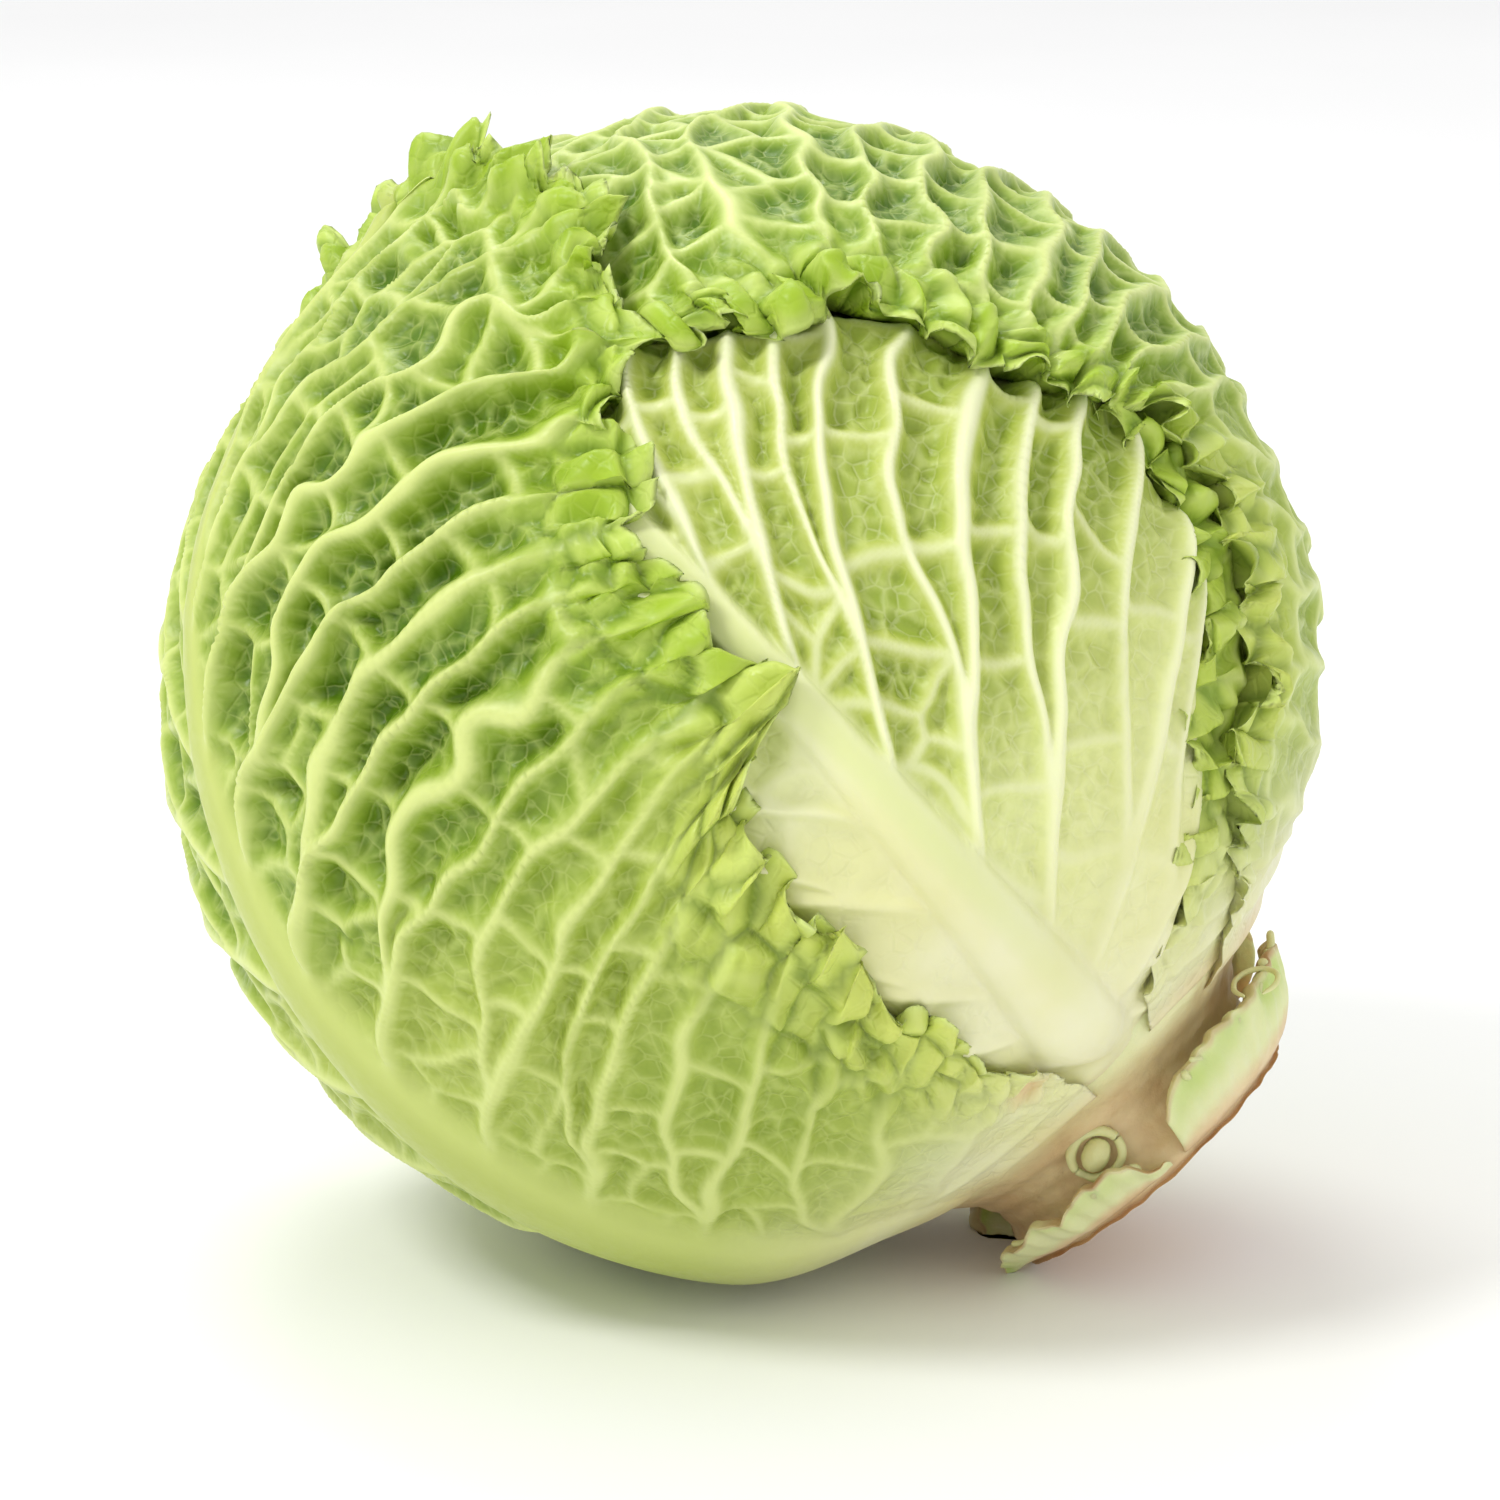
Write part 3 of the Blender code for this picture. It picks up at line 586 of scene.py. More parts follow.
def vein_shape(name, leaf, p, green, off_midrib, pads):
    """Depth of the cells, height of the ribs between them, and the masks of veins and of hollows."""
    lateral, fork, second, third, variety, fine_variety, room = vein_net(leaf, p.row, p.reach, p.spots)
    pleats = np.zeros(len(p.row))
    if name == "leaf_left":
        pleats = (smoothstep(4.6, 5.8, p.row) * smoothstep(8.8, 7.6, p.row) * (p.reach < 0)
                  * smoothstep(0.08, 0.25, p.far) * smoothstep(0.98, 0.75, p.far))
    thick, thin = leaf["ribs"]
    slender = (1 - 0.3 * np.maximum(p.row, 0) / p.last) * room
    lateral_width = (thick + (thin - thick) * p.far ** 0.7) * slender * (1 + 0.5 * pleats)
    fork_width = (0.65 * thick + (thin - 0.65 * thick) * p.far) * slender * (1 + 0.9 * pleats)
    second_width = 0.5 * thin + 0.12
    main = np.minimum(lateral - lateral_width, fork - fork_width)
    wall = smoothstep(-0.2, 2.8, np.minimum(main, second - second_width))
    fine_wall = smoothstep(0.1, 1.5, third)
    bowl = (0.28 * smoothstep(-0.2, 3.4, main) + 0.44 * wall
            + 0.36 * wall * fine_wall * (0.5 + 0.8 * fine_variety))
    deep = leaf["depth"][0] * green + leaf["depth"][1] * (1 - green)
    deep = deep * (1 + 0.15 * pleats) * (0.15 + 0.85 * p.base) * (0.6 + 0.6 * variety)
    hollow = deep * bowl * p.relief * off_midrib * (1 - 0.9 * pads)
    crest = (leaf["crest"] + 2.2 * pleats) * bell(lateral, 1.15 * lateral_width) * (1 - 0.5 * p.far)
    fork_crest = (0.6 + pleats) * bell(fork, 1.2 * fork_width) * smoothstep(FORK_START, 0.4, p.far)
    ridge = np.maximum(crest, fork_crest) * room * p.relief * off_midrib
    ridge = ridge * (0.6 + 0.4 * p.base) * (1 - 0.6 * pads)

    plain = leaf["plain"]
    vein = np.zeros(len(p.row))
    for strength, low, high, distance in ((1.0, -0.45, 0.55, lateral - lateral_width),
                                          (1.0, -0.4, 0.5, fork - fork_width),
                                          (plain, -0.2, 0.6, second - second_width),
                                          (0.5 * plain ** 2, 0.05, 0.6, third)):
        vein = np.maximum(vein, strength * (1 - smoothstep(low, high, distance)))
    vein = np.maximum(vein * (0.35 + 0.65 * p.base), 1 - off_midrib)
    return hollow, ridge, vein, wall * (0.6 + 0.4 * fine_wall) * off_midrib


def leaf_surface(name, leaf, row, reach, buried):
    """Points of the blade's outer face in mm, the masks for its material, and its lowest level."""
    p = place_on_leaf(name, leaf, row, reach, buried)
    green = greenness(name, leaf, p)
    rib, off_midrib, midrib_back = midrib_shape(leaf, p)
    f = frill_shape(name, leaf, p)
    hollow, ridge, vein, cell = vein_shape(name, leaf, p, green, off_midrib, f.pads)
    tear, fold = np.zeros(len(row)), np.zeros(len(row))
    if name == "leaf_left":
        ragged = smoothstep(-0.2, 0.35, noise(p.spots, 1.6, 15))
        tear = near_place(leaf, p.spots, 5.62, -0.31, 3.4) * ragged
        fold = near_place(leaf, p.spots, 0.34, -0.93, 2.6)

    seat = leaf["seat"] + (1 - leaf["seat"]) * p.base
    level = HEAD_RADIUS + leaf["bare"] * (1 - p.cover) * seat + leaf["under"] * p.cover
    level = level - NARROWING_AT_STUMP * smoothstep(46, 30, p.from_stump)
    level = level - 1.6 * smoothstep(25.0, 21.0, p.from_stump) - f.settled
    pucker = 0.8 * noise(p.spots, 21.0, leaf["seed"] + 11) * p.shown * p.off_floor * p.base
    radius = level - hollow - 1.4 * tear - 3.2 * fold + f.bulge + ridge + rib + f.lift + pucker
    nearer, further = np.clip(row - 0.02, -1, p.last), np.clip(row + 0.02, -1, p.last)
    along_margin = leaf_direction(leaf, further, reach) - leaf_direction(leaf, nearer, reach)
    outwards = p.outward - leaf_direction(leaf, row, 0.985 * reach)
    points = HEAD_CENTRE + p.outward * radius[:, None]
    points = points + unit(along_margin + 1e-9) * f.sway[:, None]
    points = points + unit(outwards + 1e-9) * f.push[:, None]
    points[:, 2] = np.maximum(points[:, 2], FLOOR_GAP)
    lowest = level - 1.25 * (leaf["depth"][0] + 0.4) * p.relief - 1.6 * f.pads

    # Painted shade: the creases between the frill's pads are darkened with the deep green, where shade
    # falls in them; the torn spot is darkened through the same mask.
    painted_crease_shade = f.pads * (1 - smoothstep(0.1, 0.9, f.edge)) * smoothstep(0.4, 1.5, p.to_margin)
    masks = {
        "vein": vein * (1 - tear) * (1 - 0.75 * f.pads),
        "hollow": cell,
        "crease_shade_and_tear": np.maximum(painted_crease_shade, tear),
        # Painted highlight: a pale lime line just inside each pad's edge, where light catches the rounded
        # pad.
        "pad_rim_highlight": f.pads * bell(f.edge - 1.0, 0.45),
        "green": green,
        "midrib": midrib_back,
        "frill": np.clip(1.1 * bell(p.to_margin, 10.0) * p.active, 0, 1),
        # Painted glow: the blade's last millimetre turns pale lime, as light shining through the thin
        # margin.
        "rim": bell(p.to_margin, 0.6) * p.active,
        "base": 1 - (p.base if name == "leaf_front" else smoothstep(30, 56, p.from_stump)),
        "tan": np.maximum(1 - smoothstep(21, 31, p.from_stump + 2.5 * noise(p.spots, 9.0, 17)), fold),
    }
    return points, masks, lowest


def smoothed(values, faces, strength):
    """Moves each point's values part of the way to its neighbours' mean; the rim keeps its own."""
    edges = np.sort(np.concatenate([faces[:, [0, 1]], faces[:, [1, 2]], faces[:, [2, 0]]]), axis=1)
    edges, uses = np.unique(edges, axis=0, return_counts=True)
    total, count = np.zeros_like(values), np.zeros((len(values), 1))
    for here, there in ((0, 1), (1, 0)):
        np.add.at(total, edges[:, here], values[edges[:, there]])
        np.add.at(count, edges[:, here], 1.0)
    moved = values + strength * (total / count - values)
    rim = edges[uses == 1].ravel()
    moved[rim] = values[rim]
    return moved


def leaf_piece(name):
    """The whole blade: a fine outer face and a coarse inner one that share their rim."""
    leaf = LEAVES[name]
    step = leaf["step"]

    def wanted_outside(values, to_margin):
        hidden = smoothstep(3.0, 11.0, values[:, 2])
        shown = step - 0.3 * step * bell(to_margin, 9.0)
        return shown * (1 - hidden) + HIDDEN_STEP * hidden

    def wanted_inside(values, to_margin):
        to_rim = np.minimum(to_margin, (values[:, 0] + 1) * BASE_ROW_LENGTH)
        return wanted_outside(values, to_margin) + 0.5 * np.maximum(to_rim - 1.5, 0)

    row, reach, buried, faces = refined_sheet(leaf, wanted_outside)
    points, masks, _ = leaf_surface(name, leaf, row, reach, buried)
    points = smoothed(points, faces, 0.6)
    softer = smoothed(np.stack(list(masks.values()), axis=1), faces, 0.45)
    masks = dict(zip(masks, softer.T))
    in_row, in_reach, in_buried, in_faces = refined_sheet(leaf, wanted_inside)
    in_points, in_masks, lowest = leaf_surface(name, leaf, in_row, in_reach, in_buried)
    whole = arc_lengths(leaf, in_row, in_reach)[0]
    from_rim = np.minimum((1 - np.abs(in_reach)) * whole, (in_row + 1) * BASE_ROW_LENGTH)
    inward = unit(in_points - HEAD_CENTRE)
    radius = np.linalg.norm(in_points - HEAD_CENTRE, axis=1)
    thin = radius - BLADE_THICKNESS * smoothstep(0.0, 2.0, from_rim)
    safe = np.minimum(lowest - BLADE_THICKNESS, thin)
    in_radius = thin + (safe - thin) * smoothstep(1.5, 5.0, from_rim)
    in_points = HEAD_CENTRE + inward * in_radius[:, None]
    in_points[:, 2] = np.maximum(in_points[:, 2], FLOOR_GAP + 0.8 * smoothstep(0.0, 2.5, from_rim))
    count = len(points)
    faces = np.concatenate([faces, in_faces[:, ::-1] + count])
    points = np.concatenate([points, in_points])
    masks = {key: np.concatenate([masks[key], in_masks[key]]) for key in masks}
    return mesh_piece(name, points, faces, masks, weld=True)


def mesh_piece(name, points, faces, masks, weld=False):
    """A smooth mesh with its masks as attributes; weld joins the points of its two faces' rims."""
    mesh = bpy.data.meshes.new(name)
    mesh.vertices.add(len(points))
    mesh.vertices.foreach_set("co", (points * MM).astype(np.float32).ravel())
    mesh.loops.add(3 * len(faces))
    mesh.loops.foreach_set("vertex_index", faces.astype(np.int32).ravel())
    mesh.polygons.add(len(faces))
    mesh.polygons.foreach_set("loop_start", np.arange(0, 3 * len(faces), 3, dtype=np.int32))
    mesh.update(calc_edges=True)
    for key, values in masks.items():
        layer = mesh.attributes.new(key, "FLOAT", "POINT")
        layer.data.foreach_set("value", values.astype(np.float32))
    shape = bmesh.new()
    shape.from_mesh(mesh)
    if weld:
        bmesh.ops.remove_doubles(shape, verts=shape.verts, dist=0.002 * MM)
    bmesh.ops.recalc_face_normals(shape, faces=shape.faces)
    shape.to_mesh(mesh)
    shape.free()
    mesh.shade_smooth()
    piece = bpy.data.objects.new(name + "_fine", mesh)
    bpy.context.scene.collection.objects.link(piece)
    return piece


# Materials

class Nodes:
    """A short way to write a material's nodes."""

    def __init__(self, name):
        self.material = bpy.data.materials.new(name)
        self.material.use_nodes = True
        self.tree = self.material.node_tree

    def feed(self, node, inputs):
        for key, value in inputs.items():
            if isinstance(value, bpy.types.NodeSocket):
                self.tree.links.new(value, node.inputs[key])
            else:
                node.inputs[key].default_value = value

    def add(self, kind, inputs, **settings):
        node = self.tree.nodes.new(kind)
        for key, value in settings.items():
            setattr(node, key, value)
        self.feed(node, inputs)
        return node.outputs

    def mask(self, name):
        return self.add("ShaderNodeAttribute", {}, attribute_name=name)["Fac"]

    def mix(self, factor, first, second):
        return self.add("ShaderNodeMix", {"Factor": factor, 6: first, 7: second}, data_type="RGBA")[2]

    def times(self, first, second):
        return self.add("ShaderNodeMath", {0: first, 1: second}, operation="MULTIPLY", use_clamp=True)[0]

    def over(self, base, top, mask, strength):
        """Lays top over base where the mask says, at this strength."""
        return self.mix(self.times(self.mask(mask), strength), base, top)

    def span(self, value, low, high, to_low=0.0, to_high=1.0):
        inputs = dict(enumerate((value, low, high, to_low, to_high)))
        return self.add("ShaderNodeMapRange", inputs, interpolation_type="SMOOTHSTEP")[0]

    def place(self):
        return self.add("ShaderNodeTexCoord", {})["Object"]

    def noise(self, scale, detail=3.0, rough=0.5):
        inputs = {"Vector": self.place(), "Scale": scale, "Detail": detail, "Roughness": rough}
        return self.add("ShaderNodeTexNoise", inputs)["Fac"]

    def net(self, scale):
        inputs = {"Vector": self.place(), "Scale": scale}
        return self.add("ShaderNodeTexVoronoi", inputs, feature="DISTANCE_TO_EDGE")["Distance"]

    def bump(self, height, distance, strength, below=None):
        inputs = {"Height": height, "Distance": distance, "Strength": strength}
        if below is not None:
            inputs["Normal"] = below
        return self.add("ShaderNodeBump", inputs)["Normal"]

    def surface(self, inputs):
        """Feeds the shader and gives the material."""
        self.feed(self.tree.nodes["Principled BSDF"], inputs)
        return self.material


def colour(red, green, blue):
    """A colour given as it looks on screen, from 0 to 255, as linear light."""
    parts = [value / 255 for value in (red, green, blue)]
    return tuple(p / 12.92 if p <= 0.04045 else ((p + 0.055) / 1.055) ** 2.4 for p in parts) + (1.0,)


def tan_flesh(nodes):
    """Pale tan with brown fibres, the colour of the cut stem and of the leaves' ends round it."""
    patches = nodes.noise(70.0, 4.0, 0.6)
    fibres = nodes.noise(260.0, 4.0, 0.65)
    flesh = nodes.mix(nodes.span(patches, 0.3, 0.7), colour(228, 206, 160), colour(214, 180, 134))
    return nodes.mix(nodes.span(fibres, 0.5, 0.8, 0.0, 0.25), flesh, colour(188, 146, 98))


def leaf_material(name, colours):
    """Waxy blade: pale to deep green, pale veins, lime frill, ivory base and a net of fine veins."""
    pale, light, deep, vein, frill, midrib = [colour(*levels) for levels in colours]
    nodes = Nodes(name)
    patches = nodes.noise(38.0, 3.0, 0.55)
    flecks = nodes.noise(420.0, 2.0, 0.6)
    green, hollow = nodes.mask("green"), nodes.mask("hollow")
    blade = nodes.mix(nodes.span(green, 0.05, 0.6), pale, light)
    depth = nodes.times(nodes.span(green, 0.1, 0.9), nodes.span(hollow, 0.05, 0.9))
    blade = nodes.mix(depth, blade, deep)
    blade = nodes.mix(nodes.span(patches, 0.35, 0.75, 0.0, 0.3), blade, nodes.mix(0.5, blade, light))
    net = nodes.net(330.0)
    blade = nodes.mix(nodes.times(nodes.span(net, 0.0, 0.09, 0.26, 0.0), hollow), blade, vein)
    blade = nodes.mix(nodes.span(flecks, 0.4, 0.75, 0.0, 0.14), blade, deep)
    frill = nodes.mix(nodes.span(green, 0.2, 0.65), colour(214, 222, 112), frill)
    # Lime frill colour, then painted shade of deep green in the pads' creases, with the dark torn spot.
    for mask, top, strength in (("frill", frill, 0.75), ("crease_shade_and_tear", deep, 0.7),
                                # Painted highlight of pale lime along the pads' rounded edges.
                                ("pad_rim_highlight", colour(206, 222, 118), 0.55)):
        blade = nodes.over(blade, top, mask, strength)
    blade = nodes.mix(nodes.mask("vein"), blade, vein)
    ivory = nodes.mix(nodes.span(patches, 0.3, 0.7), colour(237, 234, 202), colour(228, 225, 170))
    # The rim mask lays a painted glow of pale lime along the margins, light shining through the thin
    # blade.
    for mask, top, strength in (("midrib", midrib, 0.85), ("rim", colour(206, 224, 126), 0.8),
                                ("base", ivory, 0.85)):
        blade = nodes.over(blade, top, mask, strength)
    blade = nodes.mix(nodes.mask("tan"), blade, tan_flesh(nodes))
    grain = nodes.bump(flecks, 0.0003, 0.3)
    veinlets = nodes.times(nodes.span(net, 0.0, 0.16), hollow)
    return nodes.surface({
        "Base Color": blade,
        "Roughness": nodes.span(flecks, 0.3, 0.8, 0.34, 0.5),
        "Specular IOR Level": 0.3,
        "Subsurface Weight": 0.15,
        "Subsurface Radius": (0.9, 1.0, 0.35),
        "Subsurface Scale": 0.0012,
        "Normal": nodes.bump(veinlets, 0.0004, 0.35, grain)})


def stump_material():
    """Cut stem: pale tan with fibres, browned cut edges, brown in the wrinkles' troughs and at the
    stalks' roots, and a green flush on the torn stalks.
    """
    nodes = Nodes("stump")
    patches = nodes.noise(70.0, 4.0, 0.6)
    fibres = nodes.noise(260.0, 4.0, 0.65)
    stalk = nodes.mix(patches, colour(232, 232, 190), colour(214, 222, 150))
    brown = nodes.mix(fibres, colour(196, 150, 104), colour(150, 104, 62))
    flesh = tan_flesh(nodes)
    for mask, top in (("stalk", stalk), ("flush", colour(186, 208, 110)), ("scar", brown)):
        flesh = nodes.mix(nodes.mask(mask), flesh, top)
    rough = nodes.bump(fibres, 0.0006, 0.6)
    return nodes.surface({
        "Base Color": flesh,
        "Roughness": nodes.span(fibres, 0.3, 0.7, 0.45, 0.65),
        "Subsurface Weight": 0.18,
        "Subsurface Radius": (1.0, 0.7, 0.4),
        "Subsurface Scale": 0.002,
        "Normal": nodes.bump(patches, 0.0012, 0.4, rough)})


# The stump, its cut stalks and the heart

# Radius and height of the stump's outline.
STUMP_PROFILE = ((39.4, 68.2), (41, 72), (38, 77), (31.5, 81), (27, 85), (25, 90), (26, 95),
                 (25.5, 97), (24, 97.6), (0, 97.6))
# Cut stalks: first and last angle round the stump in degrees, height and radius at the root, height and
# radius at the torn edge, thickness.
PETIOLE_STUBS = (
    (-96, -4, 96.5, 23.5, 84.5, 35.0, 4.2),
    (2, 78, 96.5, 23.0, 90.0, 32.0, 3.6),
    (-134, -101, 90.0, 26.0, 80.0, 36.0, 3.0),
    (110, 205, 96.0, 23.5, 88.0, 33.0, 3.8),
)


def stump_place(angle, radius, height):
    """From angle round the stump's axis in radians, radius and height to the row's frame."""
    flat = np.cos(angle)[:, None] * FRONT + np.sin(angle)[:, None] * LEFT
    return HEAD_CENTRE + flat * radius[:, None] + AXIS * height[:, None]


def grid_faces(rows, columns, closed):
    faces = []
    across = columns if closed else columns - 1
    for i in range(rows - 1):
        for j in range(across):
            a, b = i * columns + j, i * columns + (j + 1) % columns
            faces += [(a, b, b + columns), (a, b + columns, a + columns)]
    return np.array(faces)


def end_caps(rings, around):
    """Fans of triangles that close the first and the last ring of a tube."""
    caps = []
    for start, flip in ((0, True), ((rings - 1) * around, False)):
        fan = np.array([(start, start + i, start + i + 1) for i in range(1, around - 1)])
        caps.append(fan[:, ::-1] if flip else fan)
    return np.concatenate(caps)


def stump_body():
    """The neck of the stump, from under the leaves to its cut face, with ring scars and wrinkles."""
    rings, around = 90, 200
    stations = through_points(STUMP_PROFILE, np.linspace(0, len(STUMP_PROFILE) - 1.0001, rings))
    angle = np.tile(np.linspace(0, 2 * np.pi, around, endpoint=False), rings)
    radius = np.repeat(np.maximum(stations[:, 0], 0.01), around)
    height = np.repeat(stations[:, 1], around)
    rough = stump_place(angle, radius, height)
    inside = np.clip(radius / 12.0, 0, 1)
    wrinkle = 0.7 * noise(rough, 9.0, 21) + 0.3 * noise(rough, 3.2, 22) + 0.12 * noise(rough, 1.3, 23)
    ring = 0.14 * np.sin(height * 1.9 + 0.8 * np.sin(2 * angle)) * smoothstep(98, 92, height)
    radius = np.maximum(radius + (wrinkle + ring) * inside, 0.01)
    cut = smoothstep(96.4, 97.5, height)
    height = height + 0.35 * cut * noise(rough, 2.4, 24) - 0.8 * cut * np.exp(-(radius / 9.0) ** 2)
    points = stump_place(angle, radius, height)
    # Brown on the cut face, and also in the wrinkles' troughs: darker where the surface sinks.
    scar = cut * (0.35 + 0.5 * np.abs(np.sin(radius * 0.8))) + 0.6 * smoothstep(0.3, 0.9, -wrinkle)
    masks = {"stalk": smoothstep(84, 74, height), "flush": 0 * height, "scar": np.clip(scar, 0, 1)}
    return points, grid_faces(rings, around, True), masks


def petiole(number):
    """One cut leaf stalk, a curved plate rooted in the stump's rim, its torn edge towards the head."""
    first, last, root_height, root_radius, edge_height, edge_radius, thickness = PETIOLE_STUBS[number]
    columns, rows = 90, 34
    rounds = 18
    turns = np.pi * (0.5 - np.arange(1, rounds) / rounds)
    climb = np.arange(rows) / (rows - 1)
    rises = np.concatenate([climb, 1 + 0.04 * np.cos(turns), 1 - climb])
    faces_out = np.concatenate([0.5 + 0 * climb, 0.5 * np.sin(turns), -0.5 + 0 * climb])
    width = len(rises)
    side = np.repeat(np.linspace(-1, 1, columns), width)
    rise, face = np.tile(rises, columns), np.tile(faces_out, columns)
    angle = np.radians(0.5 * (first + last) + 0.5 * (last - first) * side)
    torn = 1.3 * line_noise(angle * 30, 4.0, number + 31)
    torn = torn + 0.6 * line_noise(angle * 30, 1.5, number + 41)
    top = edge_height + torn + 5.0 * np.abs(side) ** 5
    radius = root_radius + (edge_radius - root_radius) * rise ** 0.5 - 1.5 * rise * side ** 2
    taper = (1 - 0.35 * rise) * np.sqrt(np.clip(1.01 - side ** 4, 0.01, 1))
    height = root_height + (top - root_height) * rise
    rough = stump_place(angle, radius, height)
    radius = radius + face * thickness * taper
    radius = radius + 0.45 * noise(rough, 6.0, number + 51) + 0.16 * noise(rough, 1.8, number + 61)
    ribs = 0.25 * np.sin(angle * 52) * smoothstep(0.0, 0.5, rise)
    points = stump_place(angle, radius + ribs, height)
    ends = []
    for start in (0, (columns - 1) * width):
        for i in range(width // 2):
            a, b = start + i, start + i + 1
            c, d = start + width - 2 - i, start + width - 1 - i
            if b < c:
                ends += [(a, b, c), (a, c, d)]
            elif b == c:
                ends += [(a, b, d)]
    bottom = []
    for j in range(columns - 1):
        a, b = j * width, (j + 1) * width
        bottom += [(a, b, b + width - 1), (a, b + width - 1, a + width - 1)]
    faces = np.concatenate([grid_faces(columns, width, False), np.array(ends), np.array(bottom)])
    edge = smoothstep(0.9, 1.0, rise)
    # Brown at the torn edge and, darker towards the root, where the stalk meets the stump.
    scar = np.clip(edge * (0.5 + 0.5 * noise(rough, 3.0, 71)) + 0.7 * smoothstep(0.12, 0.0, rise), 0, 1)
    stalk = smoothstep(0.1, 0.4, rise)
    patches = smoothstep(-0.35, 0.4, noise(rough, 9.0, 81))
    flush = 0.9 * smoothstep(0.35, 0.9, rise) * patches * (1 - edge)
    return points, faces, {"stalk": stalk, "flush": flush, "scar": scar}


def tube(path, thickness, warp=0.3, roundness=8):
    """A closed tube along places given as angle in degrees, radius and height.

    Warp is its unevenness as a share of its thickness; the lower its roundness, the more it bellies out.
    """
    path = np.asarray(path, float)
    smooth = through_points(path, np.linspace(0, len(path) - 1.0001, 8 * len(path)))
    line = stump_place(np.radians(smooth[:, 0]), smooth[:, 1], smooth[:, 2])
    ahead = unit(np.gradient(line, axis=0))
    across = unit(np.cross(ahead, AXIS + 0.01))
    upward = np.cross(ahead, across)
    around = 10
    turn = np.linspace(0, 2 * np.pi, around, endpoint=False)
    t = np.linspace(-1, 1, len(line))
    size = thickness * np.sqrt(np.clip(1.003 - t ** roundness, 0.003, 1))
    ring = np.cos(turn)[None, :, None] * across[:, None] + np.sin(turn)[None, :, None] * upward[:, None]
    points = (line[:, None] + ring * size[:, None, None]).reshape(-1, 3)
    points = points + warp * thickness * noise_vectors(points, 2.0 * thickness + 0.5, 97)
    faces = np.concatenate([grid_faces(len(line), around, True), end_caps(len(line), around)])
    count = len(points)
    masks = {"stalk": np.full(count, 0.7), "flush": np.full(count, 0.2), "scar": np.zeros(count)}
    return points, faces, masks


def stump_crumbs():
    """A bud in its ring scar, a curled thread and torn crumbs along the cut edges."""
    crumbs = []
    bud = (18.0, 27.5, 87.0)
    circle = np.radians(np.arange(0, 406, 45))
    ring = [(bud[0] + 8.5 * math.cos(t), bud[1] + 0.3, bud[2] + 3.6 * math.sin(t)) for t in circle]
    crumbs.append(tube(ring, 0.75, 0.25))
    egg = [(bud[0] + 4.6 * t, bud[1] - 0.4 + 0.9 * (1 - t * t), bud[2] + 1.2 * t) for t in (-1, 0, 1)]
    crumbs.append(tube(egg, 2.1, 0.12, 2))
    thread = [(-50 + 7 * math.cos(t), 36.0 - 2.6 * math.sin(t), 84.5 - 2.0 * math.sin(t))
              for t in circle[:8]]
    crumbs.append(tube(thread, 0.45, 0.1))
    rng = np.random.default_rng(12)
    for first, last, root_height, root_radius, edge_height, edge_radius, _ in PETIOLE_STUBS[:3]:
        for step in range(11):
            angle = first + (last - first) * (0.12 + 0.76 * (step + rng.uniform(0.2, 0.8)) / 11)
            low = edge_height + rng.uniform(0.8, 4.0)
            rise = (root_height - low) / (root_height - edge_height)
            reach = root_radius + (edge_radius - root_radius) * rise ** 0.5 - 0.4
            long = rng.uniform(1.2, 2.6)
            path = [(angle, reach, low),
                    (angle + rng.uniform(-3, 3), reach + 0.6 * long, low - 0.5 * long),
                    (angle + rng.uniform(-5, 5), reach + long, low - long)]
            crumbs.append(tube(path, rng.uniform(0.4, 0.9)))
    return crumbs


def heart_ball():
    """The dense heart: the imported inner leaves, with their own shallow net, all but hidden."""
    rings, around = 60, 120
    polar = np.repeat(np.linspace(0.02, np.pi - 0.02, rings), around)
    angle = np.tile(np.linspace(0, 2 * np.pi, around, endpoint=False), rings)
    flat = np.cos(angle)[:, None] * FRONT + np.sin(angle)[:, None] * LEFT
    direction = np.sin(polar)[:, None] * flat + np.cos(polar)[:, None] * AXIS
    spots = HEART_RADIUS * direction
    radius = HEART_RADIUS + 0.5 * noise(spots, 14.0, 91) + 0.3 * noise(spots, 5.0, 92)
    points = HEAD_CENTRE + direction * radius[:, None]
    faces = np.concatenate([grid_faces(rings, around, True), end_caps(rings, around)])
    unused = ("hollow", "crease_shade_and_tear", "pad_rim_highlight", "frill", "rim", "base", "tan", "midrib")
    masks = {key: np.zeros(len(points)) for key in unused}
    masks["vein"] = smoothstep(0.2, 0.6, noise(spots, 9.0, 93))
    masks["green"] = np.full(len(points), 0.15)
    return points, faces, masks


def joined(parts):
    points, faces, masks, count = [], [], {}, 0
    for one_points, one_faces, one_masks in parts:
        points.append(one_points)
        faces.append(one_faces + count)
        count += len(one_points)
        for key, values in one_masks.items():
            masks.setdefault(key, []).append(values)
    return np.concatenate(points), np.concatenate(faces), {k: np.concatenate(v) for k, v in masks.items()}


def stump_piece():
    points, faces, masks = joined([stump_body()] + [petiole(i) for i in range(len(PETIOLE_STUBS))]
                                  + stump_crumbs())
    points[:, 2] = np.maximum(points[:, 2], FLOOR_GAP)
    return mesh_piece("stump", points, faces, masks)


# Putting the cabbage together

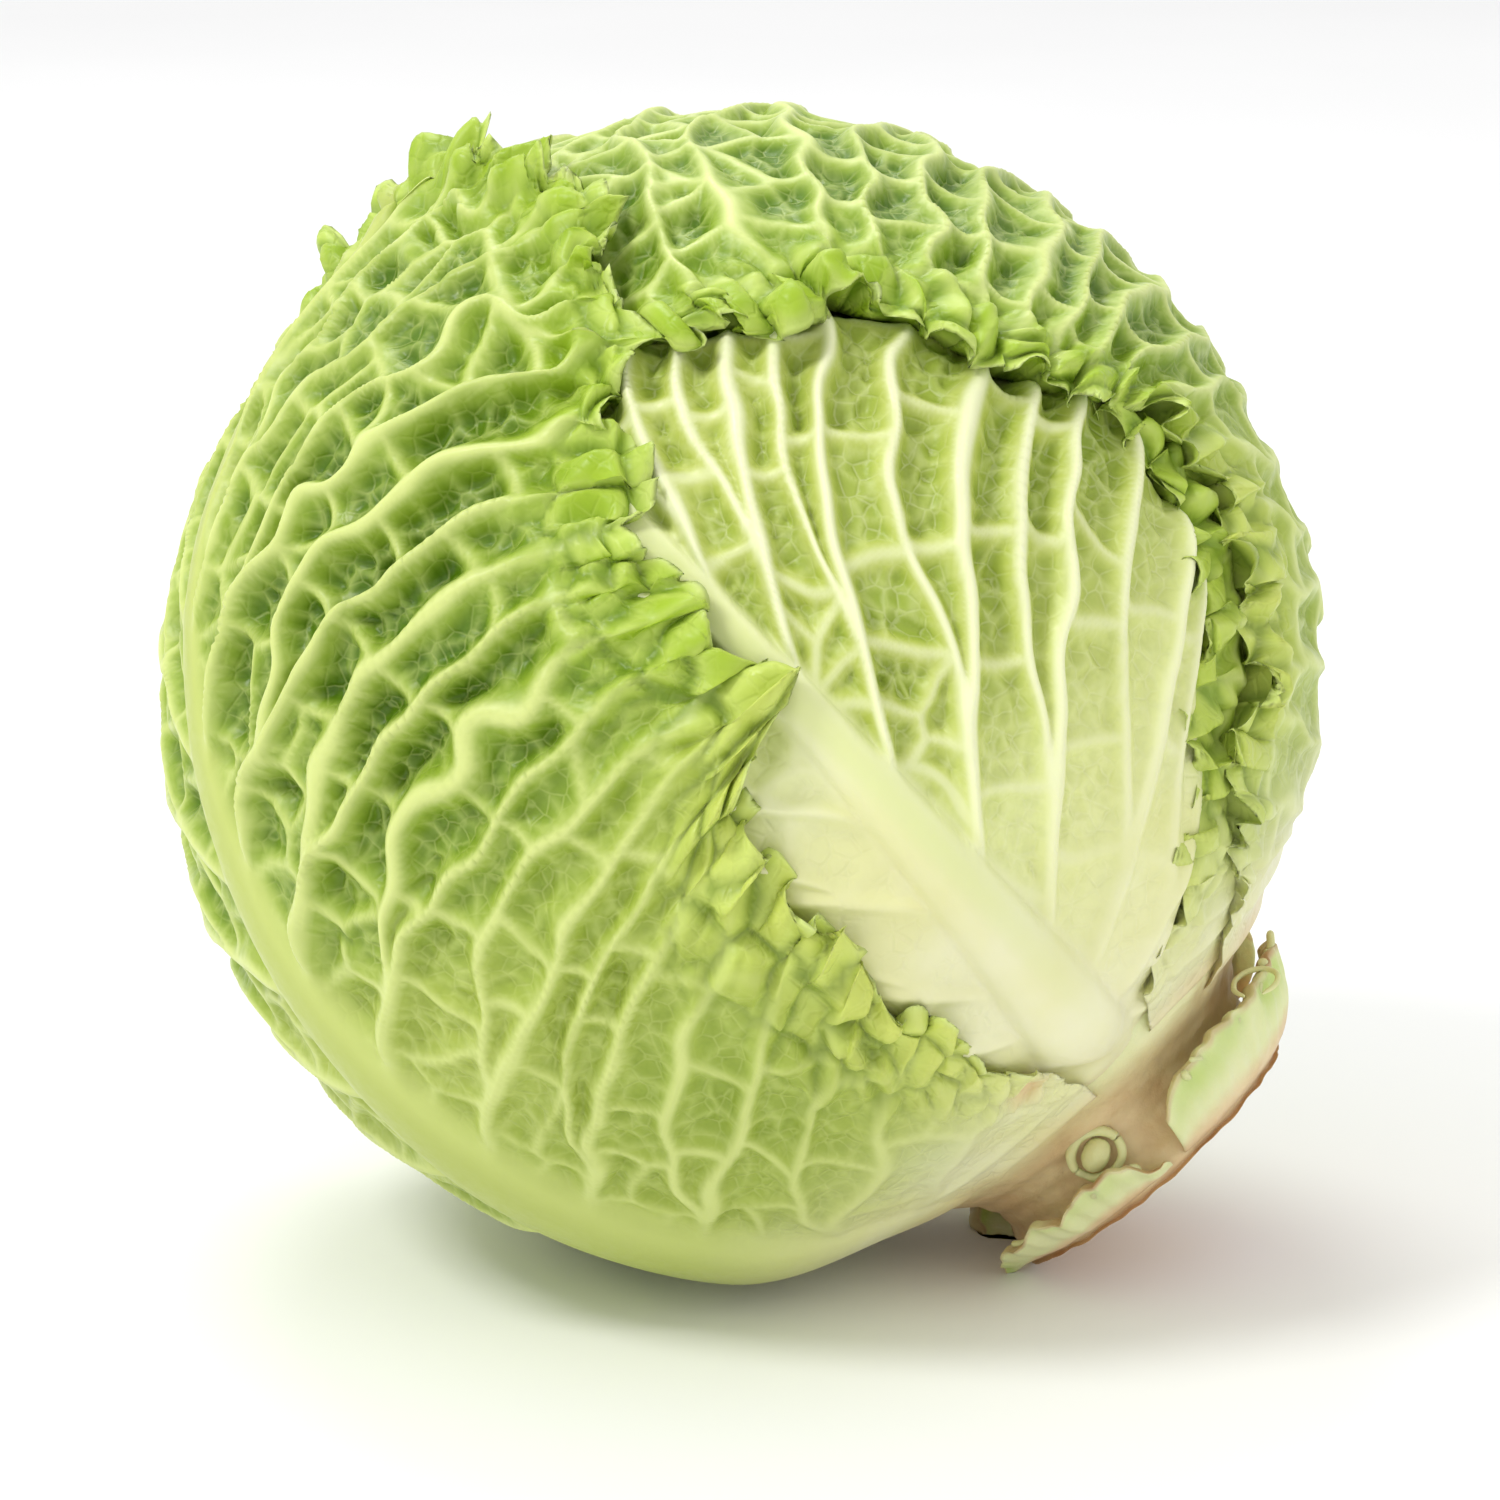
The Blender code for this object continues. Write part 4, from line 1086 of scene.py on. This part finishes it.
# Slot of each leaf, and its pale, light, deep, vein, frill and midrib colours.
LEAF_LOOKS = {
    # leaf_left's midrib colour, its last, is a darker olive than the other leaves': partly painted shade,
    # for the shade that lies on that band low on the head.
    "leaf_left": ("outer_leaf", (174, 186, 84), (142, 168, 50), (76, 112, 2),
                  (206, 216, 134), (164, 194, 40), (176, 188, 94)),
    "leaf_right": ("outer_leaf", (180, 194, 92), (146, 172, 54), (80, 116, 4),
                   (214, 224, 146), (162, 192, 42), (196, 208, 116)),
    "leaf_inner_right": ("inner_leaf", (190, 202, 104), (158, 182, 64), (94, 132, 20),
                         (214, 222, 144), (168, 196, 52), (206, 214, 130)),
    "leaf_back": ("inner_leaf", (186, 198, 100), (152, 178, 60), (88, 128, 18),
                  (210, 220, 140), (164, 194, 50), (204, 212, 126)),
    "leaf_front": ("pale_leaf", (220, 228, 148), (186, 198, 92), (130, 156, 40),
                   (234, 237, 192), (178, 200, 76), (220, 226, 158)),
}


def place_piece(piece, node, material):
    piece.data.materials.append(material)
    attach(piece, "root")
    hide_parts(node)


def build_cabbage():
    for name, (slot, *colours) in LEAF_LOOKS.items():
        place_piece(leaf_piece(name), name, leaf_material(name, colours))
    place_piece(stump_piece(), "stump_and_heart", stump_material())
    heart = mesh_piece("heart", *heart_ball())
    heart_colours = LEAF_LOOKS["leaf_front"][1:]
    place_piece(heart, "stump_and_heart", leaf_material("heart", heart_colours))


# Floor, light and camera

def build_studio():
    bpy.ops.mesh.primitive_plane_add(size=6.0, location=(0, 0, 0))
    floor = bpy.context.object
    floor.name = "floor"
    nodes = Nodes("floor")
    patches = nodes.span(nodes.noise(3.0), 0.3, 0.7)
    pale = nodes.mix(patches, (0.90, 0.90, 0.90, 1), (0.92, 0.92, 0.92, 1))
    shade = nodes.surface({"Base Color": pale, "Roughness": 0.7, "Specular IOR Level": 0.1})
    floor.data.materials.append(shade)

    world = bpy.data.worlds.new("studio")
    bpy.context.scene.world = world
    world.use_nodes = True
    background = world.node_tree.nodes["Background"]
    background.inputs["Color"].default_value = (1.0, 1.0, 1.0, 1.0)
    background.inputs["Strength"].default_value = 0.9

    for name, place, size, power in (("key", (-0.85, -0.60, 1.30), 0.45, 11.0),
                                     ("top", (-0.20, 0.65, 1.30), 0.6, 5.0),
                                     ("fill", (1.20, -0.90, 0.60), 1.0, 0.5)):
        lamp = bpy.data.lights.new(name, "AREA")
        lamp.shape = "DISK"
        lamp.size = size
        lamp.energy = power
        light = bpy.data.objects.new(name, lamp)
        light.location = place
        aim = Vector((0, 0, 0.08)) - Vector(place)
        light.rotation_euler = aim.to_track_quat("-Z", "Y").to_euler()
        bpy.context.scene.collection.objects.link(light)


def build_camera():
    """The photograph's view: from the front, 14 degrees above the horizon."""
    target = Vector((1.247, -2.263, 79.675)) * MM
    distance, elevation = 0.95, math.radians(14)
    lens = bpy.data.cameras.new("camera")
    lens.lens = 146.27
    lens.sensor_width = 36.0
    camera = bpy.data.objects.new("camera", lens)
    camera.location = target + distance * Vector((0, -math.cos(elevation), math.sin(elevation)))
    camera.rotation_euler = (target - camera.location).to_track_quat("-Z", "Y").to_euler()
    bpy.context.scene.collection.objects.link(camera)
    bpy.context.scene.camera = camera
    bpy.context.scene.view_settings.view_transform = "Standard"


build_camera()
build_studio()
build_cabbage()
bpy.context.view_layer.update()
